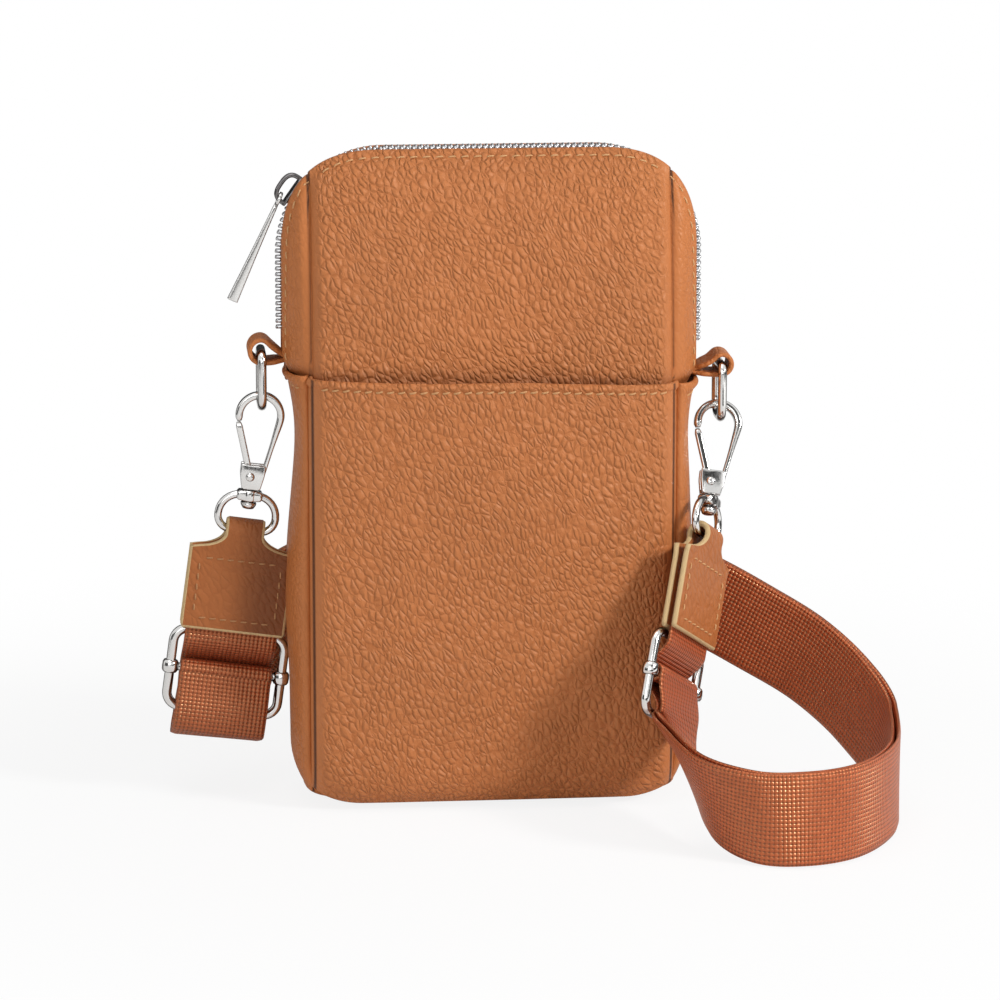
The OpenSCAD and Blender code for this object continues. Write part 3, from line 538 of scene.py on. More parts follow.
def bumpNode(nt, height, distance, strength=1.0):
    return newNode(nt, "Bump", Height=height, Distance=distance, Strength=strength).outputs[0]


def tinted(colour, factor=1.0):
    return tuple(min(1, c * factor) for c in colour) + (1,)


# near presses the grain flat beside a seam and paints a thin line of shade along the seam's groove; shade is
# painted soft shade
hide = dict(creaseWidth=0.15, creaseDark=0.42, creaseRough=0.18, patchSize=0.03, patches=(0.96, 1.03),
            palest=1.16, toneShare=0.25, pressed=0.8, pressedFrom=0.75, seamDark=0.94, seamLine=(0.85, 0.98),
            shaded=(0.11, 0.026, 0.007, 1), seamShadow=(0.04, 0.009, 0.003, 1), specular=0.4, tint=(1, 0.86, 0.7, 1))


def leatherMaterial(name, face, crease, pebble=0.0021, flatness=0.0, depth=0.0006, rough=0.47):
    m, nt, bsdf, place = startMaterial(name)
    near = attributeNode(nt, "near")
    pressed = remap(nt, near, 0.0, hide["pressedFrom"], flatness, max(flatness, hide["pressed"]))
    grain = placeGroup(nt, "pebble", Vector=place, Pebble_Size=pebble, Crease_Width=hide["creaseWidth"],
                       Flatness=pressed)
    wear = placeGroup(nt, "wear", Vector=place, Patch_Size=hide["patchSize"])
    tone = mixColour(nt, remap(nt, wear["Patches"], 0.35, 0.65), *(tinted(face, k) for k in hide["patches"]))
    tone = mixColour(nt, times(nt, grain["Tone"], hide["toneShare"]), tone, tinted(face, hide["palest"]))
    colour = mixColour(nt, times(nt, grain["Crease"], hide["creaseDark"]), tone, tinted(crease))
    # Painted soft shade where a piece's shade attribute is set
    colour = mixColour(nt, attributeNode(nt, "shade"), colour, hide["shaded"])
    # Painted shade along the seam's line, where the leaves meet in a groove
    colour = mixColour(nt, remap(nt, near, *hide["seamLine"], 0, hide["seamDark"]), colour, hide["seamShadow"])
    streaks = remap(nt, wear["Streaks"], 0.2, 0.8, rough - 0.06, rough + 0.08, "LINEAR")
    roughness = plus(nt, times(nt, grain["Crease"], hide["creaseRough"]), streaks)
    setInputs(bsdf, Base_Color=colour, Roughness=roughness, Specular_IOR_Level=hide["specular"],
              Specular_Tint=hide["tint"], Normal=bumpNode(nt, grain["Height"], depth))
    return m


# Thread and raw edges: two tones in streaks, a plain roughness and a shallow bump
def streakedMaterial(name, dark, light, patch, rough, depth):
    m, nt, bsdf, place = startMaterial(name)
    wear = placeGroup(nt, "wear", Vector=place, Patch_Size=patch)
    setInputs(bsdf, Base_Color=mixColour(nt, wear["Streaks"], tinted(dark), tinted(light)), Roughness=rough,
              Normal=bumpNode(nt, wear["Streaks"], depth))
    return m


band = dict(row=1.15, thread=1.2, threads=((0.34, 0.044, 0.013, 1), (0.47, 0.078, 0.024, 1)),
            worn=(0.46, 0.082, 0.025, 1), wornShare=0.35, rough=(0.29, 0.38),
            between=(0.15, 0.018, 0.006, 1), shaded=(0.09, 0.011, 0.005, 1), sheen=0.05,
            sheenTint=(1, 0.5, 0.28, 1), ior=1.78, tint=(1, 0.6, 0.3, 1), depth=0.0004)


def webbingMaterial():
    m, nt, bsdf, place = startMaterial("rustWebbing")
    uv = newNode(nt, "UVMap")
    uv.uv_map = "UVMap"
    weave = placeGroup(nt, "weave", UV=uv.outputs[0], Row=band["row"], Float=band["thread"])
    wear = placeGroup(nt, "wear", Vector=place, Patch_Size=0.03)
    base = mixColour(nt, weave["Shade"], *band["threads"])
    base = mixColour(nt, times(nt, wear["Patches"], band["wornShare"]), base, band["worn"])
    colour = mixColour(nt, weave["Thread"], band["between"], base)
    # Painted shade where the shade attribute is set
    colour = mixColour(nt, attributeNode(nt, "shade"), colour, band["shaded"])
    setInputs(bsdf, Base_Color=colour, Roughness=remap(nt, weave["Shade"], 0, 1, *band["rough"], "LINEAR"),
              Sheen_Weight=band["sheen"], Sheen_Tint=band["sheenTint"], Specular_IOR_Level=1.0,
              IOR=band["ior"], Specular_Tint=band["tint"], Normal=bumpNode(nt, weave["Height"], band["depth"]))
    return m


# Plating gets a painted reflection: a darker band painted into its colour where it turns away
def metalMaterial(name, colour, rough, paintedReflection=0.93):
    m, nt, bsdf, place = startMaterial(name)
    wear = placeGroup(nt, "wear", Vector=place, Patch_Size=0.012)
    facing = newNode(nt, "LayerWeight", Blend=0.5)
    turn = plus(nt, facing.outputs["Facing"], remap(nt, wear["Patches"], 0.3, 0.7, -0.06, 0.06, "LINEAR"))
    # Painted reflection: a dark band in the colour where the surface turns away from the view
    dark = times(nt, remap(nt, turn, 0.4, 0.5), remap(nt, turn, 0.8, 0.68))
    tone = mixColour(nt, wear["Patches"], tinted(colour, 0.93), tinted(colour))
    tone = mixColour(nt, times(nt, dark, paintedReflection), tone, (0.05, 0.04, 0.035, 1))
    streaks = remap(nt, wear["Streaks"], 0.3, 0.75, rough - 0.04, rough + 0.07, "LINEAR")
    setInputs(bsdf, Base_Color=tone, Roughness=streaks, Metallic=1,
              Normal=bumpNode(nt, wear["Patches"], 0.0002, 0.3))
    return m


def clothMaterial(name, light, dark, pitch):
    m, nt, bsdf, place = startMaterial(name)
    wave = newNode(nt, "TexWave", Vector=place, Scale=0.16 / pitch, Distortion=0.6)
    wear = placeGroup(nt, "wear", Vector=place, Patch_Size=0.01)
    tone = mixColour(nt, wave.outputs["Fac"], tinted(dark), tinted(light))
    tone = mixColour(nt, times(nt, wear["Streaks"], 0.3), tone, tinted(dark))
    setInputs(bsdf, Base_Color=tone, Roughness=0.85, Normal=bumpNode(nt, wave.outputs["Fac"], 0.0002))
    return m


leather = leatherMaterial("tanLeather", (0.485, 0.166, 0.053), (0.29, 0.078, 0.018))
smoothLeather = leatherMaterial("tanLeatherSmooth", (0.48, 0.157, 0.045), (0.3, 0.085, 0.02),
                                pebble=0.002, flatness=0.4, depth=0.0004, rough=0.44)
endLeather = leatherMaterial("strapEndLeather", (0.41, 0.13, 0.036), (0.22, 0.055, 0.014),
                             pebble=0.0026, flatness=0.55, depth=0.0005, rough=0.45)
rawEdge = streakedMaterial("rawLeatherEdge", (0.56, 0.36, 0.15), (0.8, 0.6, 0.33), 0.004, 0.85, 0.0003)
webbing = webbingMaterial()
nickel = metalMaterial("platedNickel", (0.83, 0.82, 0.8), 0.13)
sliderMetal = metalMaterial("sliderMetal", (0.2, 0.19, 0.19), 0.13)
zipMetal = metalMaterial("zipMetal", (0.66, 0.66, 0.67), 0.24, 0.55)
thread = streakedMaterial("sewingThread", (0.5, 0.24, 0.085), (0.74, 0.43, 0.2), 0.006, 0.55, 0.0002)
brownThread = streakedMaterial("brownThread", (0.3, 0.12, 0.04), (0.56, 0.29, 0.12), 0.006, 0.55, 0.0002)
zipCloth = clothMaterial("zipTapeCloth", (0.4, 0.16, 0.06), (0.26, 0.09, 0.03), 0.0004)
liningCloth = clothMaterial("liningCloth", (0.42, 0.31, 0.2), (0.3, 0.21, 0.13), 0.0005)
print("materials ready")


# The pouch's outline, the same as in the solids. The side is 1 on the right and -1 on the left. For the two
# leaves, and in fullness, 1 is the front one, with fuller upper corners, and 2 the back one.

pouch = dict(zipX=58.0, cornerR=28.0, cornerX=30.0, cornerZ=158.5, top=186.5, skin=1.6, sideSkin=0.75,
             edgeY=3.65, seamX=51.0, seamD=16.5, puff=3.0, leanZ=98.0, leather=1.3, play=0.3, baseRoll=11.0,
             baseY=8.8, cornerLift=3.9, liftStart=0.74, gussetX=57.0, gussetH=123.0, pocketH=124.0, pocketGap=4.6,
             waist={1: 0.7, -1: 1.6}, flare={1: 2.2, -1: 1.2}, fullness={1: 2.6, 2: 2.0}, seamRoll=3.4,
             seamReach=4.0, slack=0.7, calmSide=9.0, calmTop=14.0, calmFoot=0.8, columns=121, rows=(12, 40, 70),
             fold=(1.3, 1.1, 0.5), groove=(3.1, 0.6, 0.28), foldOut=0.3)
seamX, edgeY, thick, play = (pouch[k] for k in ("seamX", "edgeY", "leather", "play"))
cornerW = pouch["zipX"] + pouch["sideSkin"] - pouch["cornerX"]
cornerH = pouch["top"] + pouch["skin"] - pouch["cornerZ"]
sides = ((1, "right"), (-1, "left"))


def edgeZ(x, side=1):
    e = pouch["fullness"][side]
    u = min(1, max(0, abs(x) - pouch["cornerX"]) / cornerW)
    return pouch["cornerZ"] + cornerH * (1 - u ** e) ** (1 / e)


def edgeX(z, side=1):
    e = pouch["fullness"][side]
    u = min(1, max(0, z - pouch["cornerZ"]) / cornerH)
    return pouch["cornerX"] + cornerW * (1 - u ** e) ** (1 / e)


def footZ(x):
    u = max(0, abs(x) / seamX - pouch["liftStart"]) / (1 - pouch["liftStart"])
    return play + pouch["cornerLift"] * u * u


def panelD(x):
    return pouch["seamD"] + pouch["puff"] * math.sqrt(max(0, 1 - min(1, abs(x) / seamX) ** 5))


def depthAt(x, z, d, side=1):
    f, t = footZ(x), edgeZ(x, side)
    if z < f + pouch["baseRoll"]:
        c = 1 - max(0, z - f) / pouch["baseRoll"]
        return pouch["baseY"] + (d - pouch["baseY"]) * math.sqrt(1 - c * c)
    if z < pouch["leanZ"]:
        return d
    s = min(1, (z - pouch["leanZ"]) / (t - pouch["leanZ"]))
    return edgeY + (d - edgeY) * math.sqrt(max(0, 1 - s * s))


def seamY(z, side=1):
    return depthAt(seamX, z, pouch["seamD"], side)


# How far a leaf turns in beside a seam
def rolled(fromSeam, r):
    k = max(0, r - fromSeam)
    return r - math.sqrt(max(0, r * r - k * k))


# A folded border stands proud at its edge and is drawn in along its stitches
def border(d, piece):
    (at, wide, proud), (sewnAt, narrow, deep) = piece["fold"], piece["groove"]
    return hump(d, at, wide) * proud - hump(d, sewnAt, narrow) * deep


# Dents and swellings by side: place, half width, half height and depth
dents = {1: [(11, 134, 17, 24, -2.1), (41, 150, 8, 26, 0.9), (-24, 150, 15, 22, 0.7), (-12, 40, 30, 26, 0.9),
             (26, 22, 16, 20, -1.2)],
         2: [(-14, 130, 20, 26, -1.6), (16, 44, 26, 30, 0.8)]}


def slackAt(x, z, side):
    wide = soft(x, side * 40, z, 46) * 0.9 + soft(x + 90, side * 40, z, 19) * 0.4
    shaped = sum(d * math.exp(-((x - cx) / w) ** 2 - ((z - cz) / h) ** 2) for cx, cz, w, h, d in dents[side])
    return pouch["slack"] * wide + shaped


# The slack dies away towards the side seams
def calmBeside(x, reach):
    return smooth((seamX - abs(x)) / reach)


# v runs 0-1 over the foot, 1-2 up the flat and 2-3 to the zip's edge
def panelPoint(x, v, side):
    f, t, d = footZ(x), edgeZ(x, side), panelD(x)
    roll, lean = pouch["baseRoll"], pouch["leanZ"]
    fromTop = 99
    if v <= 1:
        z = f + roll * (1 - math.cos(math.radians(90 * v)))
        y = depthAt(x, z, d, side)
    elif v <= 2:
        z = f + roll + (lean - f - roll) * (v - 1)
        y = d
    else:
        a = math.radians(90 * (v - 2))
        z = lean + (t - lean) * math.sin(a)
        y = edgeY + (d - edgeY) * math.cos(a)
        fromTop = (3 - v) * math.pi / 2 * (d - edgeY + 1)
    calm = calmBeside(x, pouch["calmSide"]) * smooth(fromTop / pouch["calmTop"]) * smooth(v / pouch["calmFoot"])
    y -= rolled(seamX - abs(x), pouch["seamRoll"]) * smooth((fromTop - 1) / 5) * smooth(v / 0.4)
    y += slackAt(x, z, side) * calm
    edge = border(fromTop, pouch)
    return vec(x, -y - edge * pouch["foldOut"], z + edge)


foot, flat, head = pouch["rows"]
columns = pouch["columns"]
cols = seamX * np.sin(np.linspace(-1, 1, columns) * math.pi / 2)
vRows = np.concatenate([np.linspace(0, 1, foot)[:-1], np.linspace(1, 2, flat)[:-1],
                        2 + np.sin(np.linspace(0, math.pi / 2, head))])


def panelGrid(side):
    return np.array([[panelPoint(x, v, side) for x in cols] for v in vRows])


# 1 at the side seams, falling to 0 over the seam's reach
def nearSeam(grid, gap=0.0):
    return np.clip(1 - np.abs(np.abs(grid[:, :, 0]) - seamX - gap) / pouch["seamReach"], 0, 1)


def makeLeaf(name, grid, material, node, back=False, **more):
    pts, faces, _ = sewnSheet(grid, thick)
    makePiece(name, turnHalf(pts) if back else pts, faces, [material], nodes=(node,), **more)


# Front pocket: lies on the front panel, open along its folded upper edge

pocket = dict(foot=0.3, sideRoll=3.6, tilt=1.3, rows=70, mouthPower=2.4, shade=0.5, shadeH=1.9,
              fold=(1.1, 1.2, 0.8), groove=(2.2, 0.6, 0.4))


def pocketTop(x):
    return pouch["pocketH"] - pocket["tilt"] * x / seamX


front, back = panelGrid(1), panelGrid(2)
# Painted shade on the front panel just above the pocket's mouth
overMouth = front[:, :, 2] - pocketTop(front[:, :, 0])
makeLeaf("frontPanel", front, leather, "front_panel", near=nearSeam(front),
         shade=pocket["shade"] * hump(overMouth, 0.2, pocket["shadeH"]))
makeLeaf("backPanel", back, leather, "back_panel", back=True, near=nearSeam(back))


def facePoint(x, z):
    calm = calmBeside(x, pouch["calmSide"]) * smooth((z - footZ(x)) / 8)
    return vec(x, -depthAt(x, z, panelD(x)) - slackAt(x, z, 1) * calm, z)


def faceNormal(x, z, h=0.3):
    right = x + min(h, seamX - abs(x) + 1e-3) if x < 0 else x + h if x + h < seamX else x
    across = facePoint(right, z) - facePoint(x - h, z)
    return unit(np.cross(across, facePoint(x, z + h) - facePoint(x, z - h)))


def mouth(x, z):
    return pouch["pocketGap"] * max(0, 1 - (abs(x) / seamX) ** pocket["mouthPower"]) * (z / pocketTop(x)) ** 2


def pocketPoint(x, z):
    lift = play + thick + mouth(x, z) + border(pocketTop(x) - z, pocket)
    lift += soft(x, 11, z, 30) * 0.5 * calmBeside(x, 8) * smooth(z / 20)
    p = facePoint(x, z) + faceNormal(x, z) * lift
    p[1] += rolled(seamX - abs(x), pocket["sideRoll"])
    return p


def pocketColumn(x):
    low = footZ(x) + pocket["foot"] * pouch["baseRoll"]
    rise = np.sin(np.radians(90 * np.arange(pocket["rows"] + 1) / pocket["rows"]))
    return [pocketPoint(x, low + (pocketTop(x) - low) * r) for r in rise]


pocketGrid = np.array([pocketColumn(x) for x in cols]).swapaxes(0, 1)
makeLeaf("frontPocket", pocketGrid, leather, "front_pocket", near=nearSeam(pocketGrid))
print("panels and pocket ready")


# Base, gussets and upper strips

base = dict(width=92.0, depth=17.0)


def basePoint(s, t):
    r = base["depth"] / 2
    y = r * math.sin(math.pi / 2 * t)
    half = base["width"] / 2 - r + math.sqrt(max(0, r * r - y * y))
    return vec(s * half, y, 0.0)


baseGrid = np.array([[basePoint(s, -t) for s in np.linspace(-1, 1, 41)] for t in np.linspace(-1, 1, 15)])
makeLeaf("basePanel", baseGrid, smoothLeather, "base_panel")

gusset = dict(toeZ=5.9, toeH=11.0, toe=0.55, low=0.58, mid=0.85, roll=3.0, top={1: 121.8, -1: 125.6},
              full={1: 1.5, -1: 1.25}, fullZ={1: 68.0, -1: 60.0}, fullH={1: 34.0, -1: 25.0}, endX=36.5, endR=8.0,
              toeFull=0.9, rows=100, toeRows=11, columns=49, fold=(1.0, 1.2, 1.15), groove=(3.1, 0.6, 0.35))


def gussetX(z, side=1):
    low, mid = gusset["low"] * pouch["gussetH"], gusset["mid"] * pouch["gussetH"]
    u, v = max(0, (z - low) / (mid - low)), max(0, (z - mid) / (gusset["top"][side] - mid))
    toe = max(0, 1 - (z - gusset["toeZ"]) / gusset["toeH"])
    x = pouch["gussetX"] - pouch["waist"][side] * math.sin(math.radians(90 * u)) ** 2 + pouch["flare"][side] * v * v
    x -= (pouch["gussetX"] - seamX) * gusset["toe"] * toe * toe
    return x + gusset["full"][side] * hump(z, gusset["fullZ"][side], gusset["fullH"][side])


def gussetPoint(z, a, side):
    y = seamY(z) - play
    c = max(0, math.cos(a)) ** 0.8
    fromTop = gusset["top"][side] - z
    out = (gussetX(z, side) - seamX - play) * c + border(fromTop, gusset) * c
    out += soft(side * 30, y * math.sin(a), z, 24) * 0.5 * c * smooth(fromTop / 12)
    inward = rolled(out, gusset["roll"]) * smooth((z - gusset["toeZ"]) / 10)
    return vec(side * (seamX + play + out), -math.copysign(max(0, abs(y * math.sin(a)) - inward), math.sin(a)), z)


# Below the side seams the gusset rolls in under the pouch, to the rounded end of the base
def toePoint(a, t, side):
    s, c = math.sin(a), math.cos(a)
    p = gussetPoint(gusset["toeZ"], a, side)
    end = vec(side * (gusset["endX"] + gusset["endR"] * c), -gusset["endR"] * s, thick + 0.1)
    q = p + (end - p) * (1 - math.cos(math.pi / 2 * t))
    q[2] = p[2] + (end[2] - p[2]) * math.sin(math.pi / 2 * t)
    q[1] -= gusset["toeFull"] * math.sin(math.pi * t) * math.copysign(s * s, q[1])
    return q


def gussetGrid(side):
    low, high = gusset["toeZ"], gusset["top"][side]
    zs = low + (high - low) * np.sin(np.linspace(0, math.pi / 2, gusset["rows"]))
    angles = np.radians(90 * np.sin(np.radians(np.linspace(90, -90, gusset["columns"])))) * side
    toe = [[toePoint(a, 1 - t, side) for a in angles] for t in np.linspace(0, 1, gusset["toeRows"] + 1)[:-1]]
    return np.array(toe + [[gussetPoint(z, a, side) for a in angles] for z in zs])


for side, name in sides:
    g = gussetGrid(side)
    makeLeaf(name + "Gusset", g, smoothLeather, name + "_gusset", near=nearSeam(g, play))

strip = dict(foot=117.0, bulge=0.11, roll=2.8, tuck=3.2, tuckZ=5.0, tuckH=8.0, rows=60, columns=22, shade=0.6,
             shadeH=1.5, fold=(1.3, 1.1, 0.35), groove=(3.1, 0.55, 0.25))
stripHead = {side: edgeZ(seamX, side) - 0.5 for side in (1, 2)}
stripPlaces = ((1, 1, "Front"), (-1, 2, "Back"))


# depth is 1 in front and -1 behind
def stripPoint(z, s, side, depth):
    where = 1 if depth > 0 else 2
    a = vec(seamX + play, -(seamY(z, where) - play), z)
    c = vec(edgeX(z, where), -edgeY, z) - a
    n = unit(vec(-c[1], c[0], 0))
    size = np.linalg.norm(c)
    p = a + c * s - n * (size * strip["bulge"] * 4 * s * (1 - s) + border((1 - s) * size, strip))
    p += n * rolled(s * size, strip["roll"])
    p[0] -= strip["tuck"] * smooth((gusset["top"][side] + strip["tuckZ"] - z) / strip["tuckH"])
    return p * vec(side, depth, 1)


def stripGrid(side, depth, where):
    zs = strip["foot"] + (stripHead[where] - strip["foot"]) * np.sin(np.linspace(0, math.pi / 2, strip["rows"]))
    g = np.array([[stripPoint(z, s, side, depth) for s in np.linspace(0, 1, strip["columns"])] for z in zs])
    return g if side * depth > 0 else g[:, ::-1]


for side, name in sides:
    for depth, where, label in stripPlaces:
        g = stripGrid(side, depth, where)
        # Painted shadow on the strip just above the gusset's top edge, which stands over it
        lipShadow = strip["shade"] * hump(g[:, :, 2], gusset["top"][side] + 0.3, strip["shadeH"])
        makeLeaf(name + label + "Strip", g, smoothLeather, f"{name}_{label.lower()}_strip", shade=lipShadow,
                 near=nearSeam(g, play))

lining = dict(thick=0.4, gap=0.4)
liningGrid = front[8:-24:3, 6:-6:3] + vec(0, thick + lining["gap"], 0)
pts, faces, _ = sewnSheet(liningGrid, lining["thick"], 2)
pts, faces = joinParts([(pts, faces), (turnHalf(pts), faces)])
makePiece("lining", pts, faces, [liningCloth], slot="lining_cloth", nodes=("lining",))
print("gussets and strips ready")


# Stitching

stitch = dict(pitch=3.6, length=2.5, radius=0.26, slant=0.12, rings=7, around=8, rise=0.18, sink=0.22)
sewn = dict(panelX=49.0, pocketX=49.3, gussetA=1.25,
            pocket=dict(pitch=3.1, length=2.35, radius=0.31, slant=0.25), gusset=dict(pitch=3.2, length=2.2),
            strapEnd=dict(pitch=3.0, length=2.1, radius=0.24, slant=0.1))


def stitchRow(path, normals, **changes):
    look = {**stitch, **changes}
    rings, around, half = look["rings"], look["around"], look["length"] / 2
    s = along(path)
    count = int(s[-1] // look["pitch"])
    first = (s[-1] - count * look["pitch"]) / 2
    u = np.linspace(-1, 1, rings)
    size = look["radius"] * np.sqrt(np.maximum(0.08, 1 - 0.75 * u ** 4))
    rise = look["rise"] * (1 - u ** 2) - look["sink"] * u ** 6
    turns = [2 * math.pi * q / around for q in range(around)]
    parts = []
    for k in range(count):
        places = first + (k + 0.5) * look["pitch"] + u * half
        c, n = resample(path, s, places), units(resample(normals, s, places))
        side = np.cross(n[rings // 2], unit(c[-1] - c[0]))
        c = c + np.outer(u * half * look["slant"], side) + n * rise[:, None]
        ring = [c[i] + (side * math.cos(a) + n[i] * math.sin(a)) * size[i] for i in range(rings) for a in turns]
        parts.append((ring, ringFaces(rings, around)))
    return parts


# Places on a surface with their normals, turned so that keep(normal) is positive
def surfaceRow(places, pointAt, keep, h=0.25):
    path = np.array([pointAt(u, v) for u, v in places])
    normals = [unit(np.cross(pointAt(u + h, v) - pointAt(u - h, v), pointAt(u, v + h) - pointAt(u, v - h)))
               for u, v in places]
    return path, np.array([n if keep(n) >= 0 else -n for n in normals])


# w is the distance from the zip's edge, measured over the leather
def panelAt(x, w, side):
    slope = math.sqrt(1 + ((edgeZ(x + 0.1, side) - edgeZ(x - 0.1, side)) / 0.2) ** 2)
    return panelPoint(x, 3 - w * min(slope, 1.8) / (math.pi / 2 * (panelD(x) - edgeY + 1)), side)


def stripStitches(side, depth, where):
    path, normals = [], []
    for z in np.linspace(gusset["top"][side] + 1.5, stripHead[where] - 1, 120):
        a, b = vec(seamX, seamY(z, where)), vec(edgeX(z, where), edgeY)
        s = 1 - strip["groove"][0] / np.linalg.norm(b - a)
        over = stripPoint(z, s + 0.02, side, depth) - stripPoint(z, s - 0.02, side, depth)
        up = stripPoint(z + 0.3, s, side, depth) - stripPoint(z - 0.3, s, side, depth)
        n = unit(np.cross(over, up))
        path.append(stripPoint(z, s, side, depth))
        normals.append(n * (1 if n[0] * side > 0 else -1))
    return stitchRow(np.array(path), np.array(normals))


def gussetStitches(side):
    z = gusset["top"][side] - gusset["groove"][0]
    path = np.array([gussetPoint(z, a, side) for a in np.linspace(-sewn["gussetA"], sewn["gussetA"], 60)])
    normals = np.cross(np.gradient(path, axis=0), vec(0, 0, 1))
    normals *= np.sign(normals[:, :1] * side)
    return stitchRow(path, units(normals), **sewn["gusset"])


rows = []
for where in (1, 2):
    places = [(x, pouch["groove"][0]) for x in np.linspace(-sewn["panelX"], sewn["panelX"], 200)]
    row = stitchRow(*surfaceRow(places, lambda x, w: panelAt(x, max(0, w), where), lambda n: n[2]))
    rows += row if where == 1 else [(turnHalf(p), f) for p, f in row]
places = [(x, pocketTop(x) - pocket["groove"][0]) for x in np.linspace(-sewn["pocketX"], sewn["pocketX"], 200)]
rows += stitchRow(*surfaceRow(places, pocketPoint, lambda n: -n[1]), **sewn["pocket"])
for side, name in sides:
    rows += gussetStitches(side)
    for depth, where, label in stripPlaces:
        rows += stripStitches(side, depth, where)
pts, faces = joinParts(rows)
makePiece("pouchStitching", pts, faces, [thread])
print("stitching ready")


# Zip: tape, teeth, slider and puller

zipRun = dict(start=123.3, pitch=1.66, toothL=0.72, reach=3.0, mesh=0.7, parted=-0.62, toothH=2.5, sink=0.12,
              tapeIn=0.8, tapeOut=3.9, tapeT=0.6, tapeWave=0.05, leftFoot=136.2, rightFoot=130.8)
cornerX, cornerR, cornerZ = (pouch[k] for k in ("cornerX", "cornerR", "cornerZ"))
sideL, arcL, topL = cornerZ - zipRun["start"], cornerR * math.pi / 2, 2 * cornerX


# Place and outward direction on the run at the distance s from its left foot
def runPoint(s):
    if s < sideL:
        return vec(-pouch["zipX"], 0, zipRun["start"] + s), vec(-1, 0, 0)
    s -= sideL
    if s < arcL:
        n = vec(-math.cos(s / cornerR), 0, math.sin(s / cornerR))
        return vec(-cornerX, 0, cornerZ) + n * cornerR, n
    s -= arcL
    if s < topL:
        return vec(-cornerX + s, 0, pouch["top"]), vec(0, 0, 1)
    s -= topL
    if s < arcL:
        n = vec(math.sin(s / cornerR), 0, math.cos(s / cornerR))
        return vec(cornerX, 0, cornerZ) + n * cornerR, n
    return vec(pouch["zipX"], 0, cornerZ - s + arcL), vec(1, 0, 0)


for depth, name in ((-1, "Front"), (1, "Back")):
    g = []
    for s in np.linspace(0, 2 * (sideL + arcL) + topL, 180):
        p, n = runPoint(s)
        ys = np.linspace(zipRun["tapeIn"], zipRun["tapeOut"], 9)[::-depth]
        g.append([p + vec(0, depth * y, 0) + n * zipRun["tapeWave"] * math.sin(y * 9) for y in ys])
    pts, faces, _ = sewnSheet(np.array(g), zipRun["tapeT"], 2)
    makePiece("zipTape" + name, pts, faces, [zipCloth], slot="zip_tape", nodes=(f"zip_tape_{name.lower()}",))


# One cast tooth: a rounded shank that widens to a stepped head, in its own frame
def toothShape(row, head):
    l, h, r = zipRun["toothL"], zipRun["toothH"], zipRun["reach"]
    stations = [(-r, 0.62, 0.6), (-r + 0.25, 0.94, 0.9), (-1.3, 0.98, 1.0), (-0.9, 0.72, 0.92),
                (head - 0.75, 0.72, 0.9), (head - 0.45, 1.0, 1.0), (head - 0.15, 0.95, 0.92), (head, 0.6, 0.66)]
    if row > 0:
        stations = [(-y, a, b) for y, a, b in stations][::-1]
    pts = [vec(u, y, h / 2 + w - zipRun["sink"]) for y, kw, kh in stations
           for u, w in roundedProfile(l * kw, h * kh, 0.18, 1)]
    return np.array(pts), ringFaces(len(stations), len(pts) // len(stations))


def placeTooth(shape, place, out):
    turn = np.stack([np.cross(vec(0, 1, 0), out), vec(0, 1, 0), out], axis=1)
    return shape[0] @ turn.T + place, shape[1]


for row, name in ((-1, "Front"), (1, "Back")):
    first = 0.25 if row < 0 else 0.75
    teeth = []
    meshed, parted = toothShape(row, zipRun["mesh"]), toothShape(row, zipRun["parted"])
    topN, cornerN = int(topL // zipRun["pitch"]), int(arcL // zipRun["pitch"])
    for i in range(topN):
        teeth.append(placeTooth(meshed, vec(-cornerX + (i + first) * topL / topN, 0, pouch["top"]), vec(0, 0, 1)))
    for i in range(cornerN):
        a = math.radians((i + first) * 90 / cornerN)
        for side, shape in ((1, meshed), (-1, parted)):
            n = vec(side * math.sin(a), 0, math.cos(a))
            teeth.append(placeTooth(shape, vec(side * cornerX, 0, cornerZ) + n * cornerR, n))
    for side, low, shape in ((1, "rightFoot", meshed), (-1, "leftFoot", parted)):
        for i in range(int((cornerZ - zipRun[low]) // zipRun["pitch"])):
            z = cornerZ - (i + first) * zipRun["pitch"]
            teeth.append(placeTooth(shape, vec(side * pouch["zipX"], 0, z), vec(side, 0, 0)))
    pts, faces = joinParts(teeth)
    makePiece("zipTeeth" + name, pts, faces, [zipMetal], slot="zip_metal", nodes=(f"zip_teeth_{name.lower()}",))

slider = dict(rest=55.0, length=9.6, width=7.6, shoulders=0.84, narrowing=0.16, plate=0.8, gap=2.6, under=1.82,
              postX=-1.2, postL=4.4, postW=0.9, bridge=4.8, wire=1.25, bridgeW=1.9, bridgeRise=0.82)


def signedPower(v, e):
    return math.copysign(abs(v) ** e, v)


